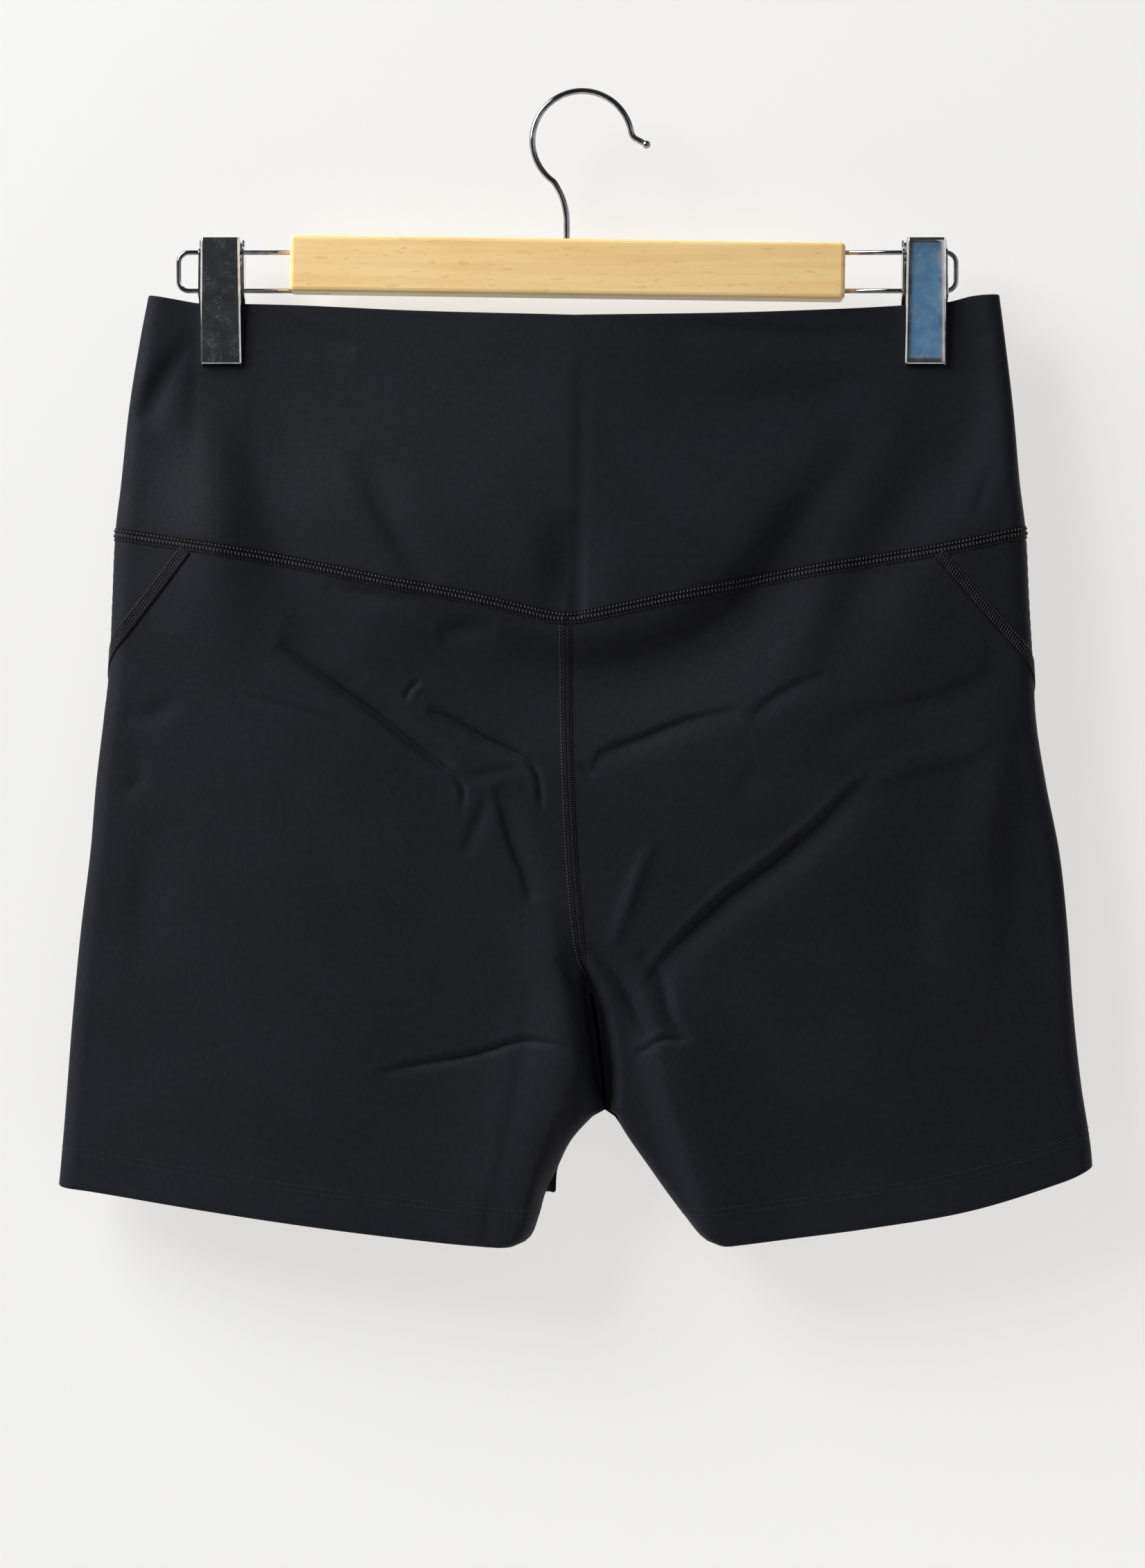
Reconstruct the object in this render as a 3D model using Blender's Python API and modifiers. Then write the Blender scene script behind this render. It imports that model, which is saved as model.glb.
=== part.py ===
"""Black cycling shorts hung flat on a wooden bar hanger with two sliding metal clips.

Metres, +X to the right, -Y towards the viewer, +Z up. The origin is on the underside of the hook's
top arc, where a rail carries it. Every cloth panel is a grid of points laid on one hollow garment
form and given its wall by Solidify; the panels stay a seam's gap apart.
"""

from collections import namedtuple
from math import cos, exp, hypot, pi, radians, sin, sqrt

import bmesh
import bpy
from mathutils import Matrix, Vector

# ---------------------------------------------------------------- driving sizes (metres)
GAP = 0.0003                # clearance between two pieces that touch
FOLD_GAP = 0.0008           # the same, measured mid-wall, where a seam runs along or over a fold
PARTING = 0.0006            # mid-wall distance of an edge on a fold from the garment's middle plane

# cloth
LEG_WALL = 0.0012           # knit of the legs
BAND_WALL = 0.0016          # doubled knit of the waistband
SIDE_RADIUS = 0.012         # reach of the soft fold at each side
INSEAM_RADIUS = 0.014       # reach of the soft fold along each inseam
SIDE_DEPTH = 0.0100         # half depth of the hollow just inside a side fold
MIDDLE_DEPTH = 0.0135       # half depth of the hollow at the middle
WAIST_DEPTH = 0.0085        # half depth at the waist's top edge, between the clips
GRIP_DEPTH = (BAND_WALL + GAP) / 2      # half depth where the clips press both layers together
WAIST_CENTRE_X = -0.0038    # middle of the top edge
V_X = -0.0080               # point of the V seam
V_Z = -0.2435
CROTCH_X = 0.0105
CROTCH_Z = -0.4688
SEAM_DIP_Z = -0.345         # height where the centre seam starts to run inwards to the crotch
BODY_END_Z = -0.370         # the hollow is one body above this height
LEGS_START_Z = -0.480       # and two legs below this one

# clips, pressed on the waistband
CLIP_X = (-0.1665, 0.1582)
CLIP_TOP_Z = -0.0672
CLIP_BOTTOM_Z = -0.1252
CLIP_TOP_HALF_WIDTH = 0.0089
CLIP_BOTTOM_HALF_WIDTH = 0.0096
CLIP_METAL = 0.0009
CLIP_TOP_Y = 0.0078         # how far a plate's face stands off the cloth plane, at its top
CLIP_BOTTOM_Y = 0.0042      # and at its gripping end
CLIP_EDGE_Y = GRIP_DEPTH + BAND_WALL / 2 + GAP      # flange edges, resting on the cloth
EAR_TOP_Z = -0.0702         # ears of the back plate, which carry the clip on both wires
EAR_BOTTOM_Z = -0.0955
EAR_REACH_Y = 0.0026
LUG_TOP_Z = -0.0872         # lugs of the front plate, which pivots on the lower wire
GRIP_HALF_WIDTH = 0.0125    # the cloth is flat this far on either side of a clip's middle
GRIP_END_Z = -0.129
RELEASE_Z = -0.205          # below this the layers are fully apart again
RELEASE_INWARDS = 0.060
RELEASE_OUTWARDS = 0.010

# hanger
BAR_LENGTH = 0.2557
BAR_HEIGHT = 0.0262
BAR_THICKNESS = 0.0140
BAR_MIDDLE = (-0.00685, 0.0, -0.0806)
BAR_TILT = radians(0.81)    # right end lower
BAR_EDGE_RADIUS = 0.0020
WIRE_RADIUS = 0.00115
WIRE_UPPER_Z = -0.0732
WIRE_LOWER_Z = -0.0909
WIRE_END_X = (-0.1863, 0.1726)
WIRE_CORNER_RADIUS = 0.0048
WIRE_IN_BAR = 0.018
HOOK_WIRE_RADIUS = 0.00145
HOOK_RADIUS = 0.0230
HOOK_START = radians(10)    # where the arc meets the out-turned end
HOOK_END = radians(235)     # where the arc meets the bend into the stem
HOOK_STEM_X = -0.0071
HOOK_STEM_IN_BAR = 0.012
HOOK_TIP_BEND = 0.0045
HOOK_TIP_LENGTH = 0.0040
HOOK_TIP_TURN = radians(52)
HOOK_BEAD_RADIUS = 0.0019
SPRING_WIRE_RADIUS = 0.0004
SPRING_COIL_RADIUS = 0.0021
SPRING_HALF_LENGTH = 0.0036
SPRING_TURNS = 4
SPRING_ARM_Z = -0.0790

# mesh density
LEG_COLUMNS = 20
LEG_ROWS_BODY = 16
LEG_ROWS_INSEAM = 6
BAND_ROWS = 8
BAND_COLUMNS = (3, 2, 3, 9)  # side fold, ear, under the clip, on to the middle
ROUND_STEPS = 8              # points round a coil's turn

# ---------------------------------------------------------------- tables
# Half a line across the garment: share 0 is the side fold, share 1 the middle or inner end.
Line = namedtuple("Line", "share left_z right_z")
WAIST_LINE = (
    Line(0.00, -0.0931, -0.0926),
    Line(0.06, -0.0950, -0.0935),
    Line(0.12, -0.0968, -0.0962),
    Line(0.22, -0.0970, -0.0976),
    Line(0.36, -0.0978, -0.0992),
    Line(0.64, -0.1006, -0.1014),
    Line(1.00, -0.1028, -0.1028),
)
FRONT_YOKE_LINE = (
    Line(0.0, -0.2028, -0.2016),
    Line(0.2, -0.2094, -0.2106),
    Line(0.4, -0.2164, -0.2174),
    Line(0.6, -0.2250, -0.2251),
    Line(0.8, -0.2329, -0.2339),
    Line(1.0, V_Z, V_Z),
)
BACK_YOKE_LINE = (
    Line(0.0, -0.2028, -0.2016),
    Line(0.5, -0.2075, -0.2065),
    Line(1.0, -0.2105, -0.2105),
)
FRONT_HEM_LINE = (
    Line(0.00, -0.5029, -0.4944),
    Line(0.08, -0.5050, -0.5003),
    Line(0.33, -0.5134, -0.5131),
    Line(0.60, -0.5218, -0.5212),
    Line(0.85, -0.5282, -0.5270),
    Line(1.00, -0.5306, -0.5302),
)
BACK_HEM_LINE = (
    Line(0.0, -0.5029, -0.4944),
    Line(0.2, -0.5050, -0.5030),
    Line(0.5, -0.5085, -0.5125),
    Line(0.8, -0.5085, -0.5190),
    Line(1.0, -0.5060, -0.5215),
)

# The garment's edges from the front, a row for each height.
Edge = namedtuple("Edge", "z left_x right_x")
SIDE_EDGE = (
    Edge(-0.0931, -0.2002, 0.1926),
    Edge(-0.1140, -0.2042, 0.1953),
    Edge(-0.1460, -0.2093, 0.1991),
    Edge(-0.1800, -0.2129, 0.2021),
    Edge(-0.2030, -0.2156, 0.2049),
    Edge(-0.2340, -0.2170, 0.2064),
    Edge(-0.2660, -0.2184, 0.2083),
    Edge(-0.2900, -0.2211, 0.2096),
    Edge(-0.3180, -0.2244, 0.2140),
    Edge(-0.3500, -0.2271, 0.2203),
    Edge(-0.3840, -0.2312, 0.2240),
    Edge(-0.4200, -0.2347, 0.2264),
    Edge(-0.4560, -0.2376, 0.2301),
    Edge(-0.4850, -0.2399, 0.2346),
    Edge(-0.5030, -0.2415, 0.2360),
)
CENTRE_SEAM = (
    Edge(-0.2105, V_X, V_X),
    Edge(-0.2925, -0.0074, -0.0074),
    Edge(-0.3475, -0.0053, -0.0053),
    Edge(-0.3981, -0.0016, -0.0016),
    Edge(-0.4301, 0.0032, 0.0032),
    Edge(-0.4493, 0.0070, 0.0070),
    Edge(CROTCH_Z, CROTCH_X, CROTCH_X),
)
FRONT_INSEAM = (
    Edge(CROTCH_Z, CROTCH_X, CROTCH_X),
    Edge(-0.4708, 0.0062, 0.0140),
    Edge(-0.4822, -0.0045, 0.0215),
    Edge(-0.4956, -0.0113, 0.0310),
    Edge(-0.5072, -0.0168, 0.0392),
    Edge(-0.5178, -0.0198, 0.0473),
    Edge(-0.5276, -0.0240, 0.0556),
    Edge(-0.5306, -0.0300, 0.0625),
)
BACK_INSEAM = (
    Edge(CROTCH_Z, CROTCH_X, CROTCH_X),
    Edge(-0.4708, 0.0062, 0.0140),
    Edge(-0.4822, -0.0045, 0.0215),
    Edge(-0.4946, -0.0108, 0.0306),
    Edge(-0.5060, -0.0120, 0.0388),
    Edge(-0.5215, -0.0120, 0.0500),
)

# The slanting side seam: where it leaves the yoke, measured round from the side fold, the share of
# the panel's height where it reaches that fold, and how far behind the fold it then runs down.
SideSeam = namedtuple("SideSeam", "at_yoke fold_share behind")
SIDE_SEAM = {"left": SideSeam(0.0424, 0.205, 0.014), "right": SideSeam(0.0497, 0.235, 0.014)}

# Folds in the cloth, each a trough along three points with a soft ridge on the side that the
# ridge column gives (+1 above the line, -1 below it, 0 none). A negative depth is a ridge.
Fold = namedtuple("Fold", "face x0 z0 x1 z1 x2 z2 half_width depth ridge")
FOLDS = (
    Fold("front", -0.139, -0.257, -0.098, -0.285, -0.055, -0.328, 0.0080, 0.0042, -1),
    Fold("front", -0.060, -0.290, -0.030, -0.304, -0.018, -0.332, 0.0070, 0.0038, 1),
    Fold("front", -0.042, -0.318, -0.027, -0.343, -0.010, -0.372, 0.0080, -0.0028, 0),
    Fold("front", -0.116, -0.455, -0.066, -0.444, -0.012, -0.436, 0.0075, 0.0026, -1),
    Fold("front", 0.002, -0.316, 0.034, -0.298, 0.070, -0.283, 0.0075, 0.0024, -1),
    Fold("front", 0.130, -0.316, 0.082, -0.349, 0.034, -0.388, 0.0090, 0.0040, 1),
    Fold("front", 0.030, -0.345, 0.020, -0.368, 0.012, -0.394, 0.0080, -0.0026, 0),
    Fold("front", 0.016, -0.446, 0.030, -0.437, 0.046, -0.436, 0.0070, 0.0022, -1),
    Fold("front", 0.038, -0.446, 0.048, -0.486, 0.062, -0.531, 0.0080, 0.0020, 1),
    Fold("front", 0.190, -0.285, 0.189, -0.350, 0.187, -0.425, 0.0130, 0.0020, 0),
    Fold("front", -0.180, -0.128, -0.188, -0.150, -0.193, -0.178, 0.0100, 0.0016, 0),
    Fold("front", -0.146, -0.114, -0.118, -0.112, -0.090, -0.108, 0.0080, 0.0016, 0),
    Fold("front", 0.172, -0.112, 0.174, -0.132, 0.166, -0.158, 0.0080, 0.0018, 0),
    Fold("front", 0.112, -0.155, 0.094, -0.182, 0.072, -0.214, 0.0160, 0.0014, 0),
    Fold("back", 0.120, -0.262, 0.084, -0.290, 0.040, -0.335, 0.0090, 0.0034, -1),
    Fold("back", -0.118, -0.322, -0.078, -0.346, -0.030, -0.390, 0.0090, 0.0032, 1),
    Fold("back", 0.050, -0.330, 0.030, -0.362, 0.012, -0.402, 0.0090, -0.0026, 0),
    Fold("back", -0.060, -0.296, -0.034, -0.306, -0.010, -0.330, 0.0080, 0.0026, -1),
    Fold("back", 0.110, -0.452, 0.072, -0.446, 0.030, -0.440, 0.0080, 0.0024, -1),
    Fold("back", -0.070, -0.470, -0.056, -0.486, -0.046, -0.508, 0.0090, 0.0018, 0),
    Fold("back", -0.192, -0.300, -0.196, -0.360, -0.196, -0.430, 0.0130, 0.0020, 0),
    Fold("back", 0.128, -0.150, 0.104, -0.178, 0.080, -0.206, 0.0150, 0.0014, 0),
)

# ---------------------------------------------------------------- small helpers


def smoothstep(value):
    """0 below 0, 1 above 1, and a soft rise between."""
    value = min(max(value, 0.0), 1.0)
    return value * value * (3 - 2 * value)


def blend(start, end, share):
    return start + (end - start) * share


def read_table(table, at, column):
    """A column of a table read at any value of its first column, along a smooth curve."""
    keys = [row[0] for row in table]
    values = [getattr(row, column) for row in table]
    if keys[0] > keys[-1]:
        keys.reverse()
        values.reverse()
    at = min(max(at, keys[0]), keys[-1])
    last = len(keys) - 1
    i = max(k for k in range(last) if keys[k] <= at)
    slopes = []
    for k in (i, i + 1):
        low, high = max(k - 1, 0), min(k + 1, last)
        slopes.append((values[high] - values[low]) / (keys[high] - keys[low]))
    step = keys[i + 1] - keys[i]
    t = (at - keys[i]) / step
    return (
        values[i] * (2 * t**3 - 3 * t**2 + 1)
        + slopes[0] * step * (t**3 - 2 * t**2 + t)
        + values[i + 1] * (3 * t**2 - 2 * t**3)
        + slopes[1] * step * (t**3 - t**2)
    )


def linear_colour(red, green, blue):
    """An 8-bit sRGB colour as the linear RGBA that a shader takes."""
    channels = [c / 255 for c in (red, green, blue)]
    return (*[c / 12.92 if c <= 0.04045 else ((c + 0.055) / 1.055) ** 2.4 for c in channels], 1.0)


def make_material(name, colour, roughness, metallic=0.0):
    material = bpy.data.materials.new(name)
    material.use_nodes = True
    shader = material.node_tree.nodes["Principled BSDF"]
    shader.inputs["Base Color"].default_value = linear_colour(*colour)
    shader.inputs["Roughness"].default_value = roughness
    shader.inputs["Metallic"].default_value = metallic
    return material


def add_object(name, data, collection, material):
    obj = bpy.data.objects.new(name, data)
    collection.objects.link(obj)
    data.materials.append(material)
    return obj


# ---------------------------------------------------------------- the garment's hollow form


def fold_effect(face, x, z):
    """How far a face's folds push its cloth inwards at (x, z)."""
    total = 0.0
    for fold in FOLDS:
        if fold.face != face:
            continue
        points = ((fold.x0, fold.z0), (fold.x1, fold.z1), (fold.x2, fold.z2))
        nearest = None
        for part, (a, b) in enumerate(zip(points, points[1:])):
            run = (b[0] - a[0], b[1] - a[1])
            length = hypot(*run)
            along = ((x - a[0]) * run[0] + (z - a[1]) * run[1]) / length**2
            along = min(max(along, 0.0), 1.0)
            off = (x - a[0] - along * run[0], z - a[1] - along * run[1])
            upwards = 1 if run[0] >= 0 else -1
            signed = upwards * (run[0] * off[1] - run[1] * off[0]) / length
            distance = hypot(*off)
            if nearest is None or distance < nearest[0]:
                nearest = (distance, signed, (part + along) / 2)
        distance, signed, share = nearest
        taper = sqrt(sin(pi * min(max(share, 0.02), 0.98)))
        trough = exp(-((distance / fold.half_width) ** 2))
        beside = (signed * fold.ridge - 1.7 * fold.half_width) / (1.3 * fold.half_width)
        reach = max(distance - abs(signed), 0.0) / fold.half_width
        ridge = 0.55 * exp(-(beside**2) - reach**2) if fold.ridge else 0.0
        total += fold.depth * taper * (trough - ridge)
    return total


def clip_grip(x, z):
    """1 where a clip presses the layers together, falling to 0 away from it."""
    lower = 1 - smoothstep((GRIP_END_Z - z) / (GRIP_END_Z - RELEASE_Z))
    grip = 0.0
    for clip_x in CLIP_X:
        off = x - clip_x
        outwards = off * clip_x > 0
        release = RELEASE_OUTWARDS if outwards else RELEASE_INWARDS
        away = (abs(off) - GRIP_HALF_WIDTH) / release
        grip = max(grip, 1 - smoothstep(away))
    return grip * lower


def half_depth(face, x, z, share, body_share):
    """Distance of a face's cloth from the garment's middle plane, away from its folds' ends.

    share runs across a leg, body_share across the whole garment; both from 0 to 1.
    """
    leg = smoothstep((BODY_END_Z - z) / (BODY_END_Z - LEGS_START_Z))
    bulge = blend(sin(pi * body_share), sin(pi * share), leg)
    middle = blend(WAIST_DEPTH, MIDDLE_DEPTH, smoothstep((-0.095 - z) / 0.13))
    side = blend(WAIST_DEPTH * 0.7, SIDE_DEPTH, smoothstep((-0.095 - z) / 0.13))
    grip = clip_grip(x, z)
    depth = blend(side, middle, bulge) - fold_effect(face, x, z)
    return blend(depth, GRIP_DEPTH, grip)


def seam_openness(z):
    """Depth of the centre seam as a share of the hollow's: 1 at the V, 0 at the crotch."""
    down = min(max((SEAM_DIP_Z - z) / (SEAM_DIP_Z - CROTCH_Z), 0.0), 1.0)
    return sqrt(1 - down * down)


def inner_edge_x(face, side, z):
    """The centre seam above the crotch, the inseam's fold below it."""
    column = side + "_x"
    if z >= CROTCH_Z:
        return read_table(CENTRE_SEAM, z, column)
    return read_table(FRONT_INSEAM if face == "front" else BACK_INSEAM, z, column)


def crotch_share(yoke, hem, side):
    """Share of a leg's height, along its inner end, at which the crotch lies."""
    top = read_table(yoke, 1.0, side + "_z")
    bottom = read_table(hem, 1.0, side + "_z")
    return (top - CROTCH_Z) / (top - bottom)


def back_share(side, height_share):
    """A front height share moved so that the back's inner end meets the crotch on the same row."""
    front = crotch_share(FRONT_YOKE_LINE, FRONT_HEM_LINE, side)
    back = crotch_share(BACK_YOKE_LINE, BACK_HEM_LINE, side)
    if height_share < front:
        return height_share / front * back
    return blend(back, 1.0, (height_share - front) / (1 - front))


def half_row(zone, face, side, height_share):
    """One row of half a face, from the side fold to the middle: its ends and its line's shape."""
    column = side + "_z"
    yoke = FRONT_YOKE_LINE if face == "front" else BACK_YOKE_LINE
    hem = FRONT_HEM_LINE if face == "front" else BACK_HEM_LINE
    upper, lower = (WAIST_LINE, yoke) if zone == "band" else (yoke, hem)

    def line_z(share):
        down = height_share
        if zone == "leg" and face == "back":
            down = blend(down, back_share(side, height_share), smoothstep(share))
        return blend(read_table(upper, share, column), read_table(lower, share, column), down)

    outwards = -1 if side == "left" else 1
    wall = BAND_WALL if zone == "band" else LEG_WALL
    outer_x = read_table(SIDE_EDGE, line_z(0.0), side + "_x") - outwards * wall / 2
    if zone == "band":
        inner_x = blend(WAIST_CENTRE_X, V_X, height_share)
        openness, inner_radius = 1.0, 0.0
    else:
        inner_z = line_z(1.0)
        openness = seam_openness(inner_z)
        inner_radius = INSEAM_RADIUS
        lean = smoothstep((1 - openness) / 0.3)
        inset = GAP / 2 + lean * wall / 2
        inner_x = inner_edge_x(face, side, inner_z) + outwards * inset
    return line_z, outer_x, inner_x, openness, inner_radius


def row_length(outer_x, inner_x, inner_radius):
    """Length round a row, from the side fold's middle to its inner end."""
    flat = abs(inner_x - outer_x) - SIDE_RADIUS - inner_radius
    return pi / 2 * (SIDE_RADIUS + inner_radius) + flat


def garment_point(zone, face, side, round_from_fold, height_share):
    """A point of the cloth's middle surface.

    round_from_fold is measured along the cloth from the side fold, onto the named face, and a
    negative value lies round the fold on the other face.
    """
    if round_from_fold < 0:
        face = "back" if face == "front" else "front"
        round_from_fold = -round_from_fold
    line_z, outer_x, inner_x, openness, inner_radius = half_row(zone, face, side, height_share)
    width = abs(inner_x - outer_x)
    length = row_length(outer_x, inner_x, inner_radius)
    parting = PARTING
    if round_from_fold < pi / 2 * SIDE_RADIUS:
        angle = round_from_fold / SIDE_RADIUS
        inwards = SIDE_RADIUS * (1 - cos(angle))
        open_share = sin(angle)
        if zone == "leg":
            parting = 0.0
    elif inner_radius and round_from_fold > length - pi / 2 * inner_radius:
        angle = (length - round_from_fold) / inner_radius
        inwards = width - inner_radius * (1 - cos(angle))
        open_share = blend(openness, 1.0, sin(angle))
    else:
        inwards = SIDE_RADIUS + round_from_fold - pi / 2 * SIDE_RADIUS
        open_share = 1.0
    share = inwards / width
    x = blend(outer_x, inner_x, share)
    z = line_z(share)
    depth = half_depth(face, x, z, share, share / 2)
    towards_viewer = -1 if face == "front" else 1
    return Vector((x, towards_viewer * blend(parting, depth, open_share), z))


# ---------------------------------------------------------------- cloth panels


def panel_object(name, columns, rows, point_at, wall, collection, material):
    """A grid whose points are moved onto the garment, given its wall by Solidify."""
    bm = bmesh.new()
    bmesh.ops.create_grid(bm, x_segments=columns, y_segments=rows, size=1.0)
    for vert in bm.verts:
        column = round((vert.co.x + 1) / 2 * columns)
        row = round((1 - vert.co.y) / 2 * rows)
        vert.co = point_at(column, row)
    mesh = bpy.data.meshes.new(name)
    bm.to_mesh(mesh)
    bm.free()
    mesh.shade_smooth()
    obj = add_object(name, mesh, collection, material)
    solidify = obj.modifiers.new("wall", "SOLIDIFY")
    solidify.thickness = wall
    solidify.offset = 0.0
    return obj


def leg_rows(side):
    """Height shares of a leg panel's rows, one of them on the crotch."""
    crotch = crotch_share(FRONT_YOKE_LINE, FRONT_HEM_LINE, side)
    rows = [crotch * i / LEG_ROWS_BODY for i in range(LEG_ROWS_BODY + 1)]
    rows.append(crotch + 0.007)
    below = 1 - rows[-1]
    rows += [rows[-1] + below * i / (LEG_ROWS_INSEAM - 1) for i in range(1, LEG_ROWS_INSEAM)]
    return rows


def side_seam_place(side, height_share):
    """Where the side seam lies at a height, measured round from the side fold onto the front."""
    seam = SIDE_SEAM[side]
    place = seam.at_yoke * (1 - height_share / seam.fold_share)
    return max(place, -seam.behind)


def leg_panel(face, side, collection, material):
    shares = leg_rows(side)

    def point_at(column, row):
        share = shares[row]
        _, outer_x, inner_x, _, inner_radius = half_row("leg", face, side, share)
        end = row_length(outer_x, inner_x, inner_radius)
        seam = side_seam_place(side, share)
        start = (seam if face == "front" else -seam) + FOLD_GAP / 2
        across = column / LEG_COLUMNS
        spread = across - 0.45 * sin(2 * pi * across) / (2 * pi)
        return garment_point("leg", face, side, blend(start, end, spread), share)

    def placed(column, row):
        point = point_at(column, row)
        if row == 0:
            point.z -= GAP / 2
        return point

    rows = len(shares) - 1
    return panel_object(
        f"{face}_leg_{side}", LEG_COLUMNS, rows, placed, LEG_WALL, collection, material
    )


def band_stations(side, face, height_share):
    """Places of the waistband's columns round one half row, close together under the clip."""
    _, outer_x, inner_x, _, _ = half_row("band", face, side, height_share)
    clip_x = CLIP_X[0] if side == "left" else CLIP_X[1]
    fold_end = pi / 2 * SIDE_RADIUS
    to_clip = abs(outer_x - clip_x) - SIDE_RADIUS
    places = [
        0.0,
        fold_end,
        fold_end + to_clip - GRIP_HALF_WIDTH,
        fold_end + to_clip + GRIP_HALF_WIDTH,
        row_length(outer_x, inner_x, 0.0),
    ]
    stations = [places[0]]
    for count, start, end in zip(BAND_COLUMNS, places, places[1:]):
        stations += [blend(start, end, i / count) for i in range(1, count + 1)]
    return stations


def waistband(face, collection, material):
    half = sum(BAND_COLUMNS)

    def point_at(column, row):
        share = row / BAND_ROWS
        side = "left" if column <= half else "right"
        station = column if side == "left" else 2 * half - column
        place = band_stations(side, face, share)[station]
        point = garment_point("band", face, side, place, share)
        if row == BAND_ROWS:
            point.z += GAP / 2
        return point

    return panel_object(
        f"{face}_waistband", 2 * half, BAND_ROWS, point_at, BAND_WALL, collection, material
    )


# ---------------------------------------------------------------- hanger


def wire_object(name, points, radius, resolution, collection, material, radii=None):
    """A round wire along points, with closed ends."""
    curve = bpy.data.curves.new(name, "CURVE")
    curve.dimensions = "3D"
    curve.bevel_depth = radius
    curve.bevel_resolution = resolution
    curve.use_fill_caps = True
    spline = curve.splines.new("POLY")
    spline.points.add(len(points) - 1)
    for i, (place, point) in enumerate(zip(points, spline.points)):
        point.co = (*place, 1.0)
        point.radius = radii[i] if radii else 1.0
    return add_object(name, curve, collection, material)


def arc_points(centre_x, centre_z, radius, start, end, count):
    """Points of an arc in the hanger's plane."""
    angles = [blend(start, end, i / count) for i in range(count + 1)]
    return [(centre_x + radius * cos(a), 0.0, centre_z + radius * sin(a)) for a in angles]


def hook_points():
    """The hook's centreline from its bead, over the arc and down the stem into the bar."""
    centre_z = HOOK_WIRE_RADIUS - HOOK_RADIUS
    arc = arc_points(0.0, centre_z, HOOK_RADIUS, HOOK_START, HOOK_END, 26)
    # the out-turned end starts along the arc's tangent and bends the other way
    bend_x = arc[0][0] + HOOK_TIP_BEND * cos(HOOK_START)
    bend_z = arc[0][2] + HOOK_TIP_BEND * sin(HOOK_START)
    bend = arc_points(bend_x, bend_z, HOOK_TIP_BEND, HOOK_START + pi, HOOK_START + pi + HOOK_TIP_TURN, 4)
    heading = HOOK_START + pi + HOOK_TIP_TURN + pi / 2
    tip = [
        (bend[-1][0] + run * cos(heading), 0.0, bend[-1][2] + run * sin(heading))
        for run in (HOOK_TIP_LENGTH * 0.4, HOOK_TIP_LENGTH)
    ]
    bead_end = (tip[-1][0], tip[-1][2], heading)
    # the bend into the stem turns back until the wire hangs straight down
    turn = pi / 2 - (HOOK_END - pi)
    stem_bend_radius = (HOOK_STEM_X - arc[-1][0]) / (1 - cos(turn))
    turn_x = HOOK_STEM_X - stem_bend_radius
    turn_z = arc[-1][2] - stem_bend_radius * sin(turn)
    stem_bend = arc_points(turn_x, turn_z, stem_bend_radius, turn, 0.0, 5)
    bar_top = BAR_MIDDLE[2] + BAR_HEIGHT / 2
    stem = [(HOOK_STEM_X, 0.0, bar_top - HOOK_STEM_IN_BAR)]
    line = list(reversed(bend[1:] + tip)) + arc[:-1] + stem_bend + stem
    return line, bead_end


def add_hook(collection, material):
    """The hook, whose last points swell into the bead on its end."""
    line, (end_x, end_z, heading) = hook_points()
    bead = []
    radii = []
    steps = 6
    for i in range(steps + 1):
        angle = blend(radians(8), radians(140), i / steps)
        run = HOOK_BEAD_RADIUS * (cos(angle) + 0.7)
        bead.append((end_x + run * cos(heading), 0.0, end_z + run * sin(heading)))
        radii.append(HOOK_BEAD_RADIUS * sin(angle) / HOOK_WIRE_RADIUS)
    points = bead + line[1:]
    radii += [1.0] * (len(line) - 1)
    return wire_object("hanger_hook", points, HOOK_WIRE_RADIUS, 2, collection, material, radii)


def add_wire_loop(side, collection, material):
    """One loop of the wire that the clips slide on; both its ends are let into the bar."""
    outwards = -1 if side == "left" else 1
    end_x = WIRE_END_X[0] if side == "left" else WIRE_END_X[1]
    bar_end = BAR_MIDDLE[0] + outwards * BAR_LENGTH / 2
    inside_x = bar_end - outwards * WIRE_IN_BAR
    corner_x = end_x - outwards * WIRE_CORNER_RADIUS
    line = [(inside_x, 0.0, WIRE_UPPER_Z)]
    for corner_z, start, end in (
        (WIRE_UPPER_Z - WIRE_CORNER_RADIUS, pi / 2, 0.0),
        (WIRE_LOWER_Z + WIRE_CORNER_RADIUS, 0.0, -pi / 2),
    ):
        for x, y, z in arc_points(0.0, corner_z, WIRE_CORNER_RADIUS, start, end, 6):
            line.append((corner_x + outwards * x, y, z))
    line.append((inside_x, 0.0, WIRE_LOWER_Z))
    return wire_object(f"wire_{side}", line, WIRE_RADIUS, 2, collection, material)


def add_cutter(name, radius, start, end, collection):
    """A round cutter between two points."""
    start, end = Vector(start), Vector(end)
    bm = bmesh.new()
    bmesh.ops.create_cone(
        bm, cap_ends=True, segments=16, radius1=radius, radius2=radius, depth=(end - start).length
    )
    mesh = bpy.data.meshes.new(name)
    bm.to_mesh(mesh)
    bm.free()
    cutter = bpy.data.objects.new(name, mesh)
    collection.objects.link(cutter)
    turn = (end - start).to_track_quat("Z", "Y").to_matrix().to_4x4()
    cutter.matrix_world = Matrix.Translation((start + end) / 2) @ turn
    cutter.hide_render = True
    cutter.display_type = "WIRE"
    return cutter


def cut(obj, cutter):
    boolean = obj.modifiers.new(cutter.name, "BOOLEAN")
    boolean.operation = "DIFFERENCE"
    boolean.solver = "EXACT"
    boolean.object = cutter


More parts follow.
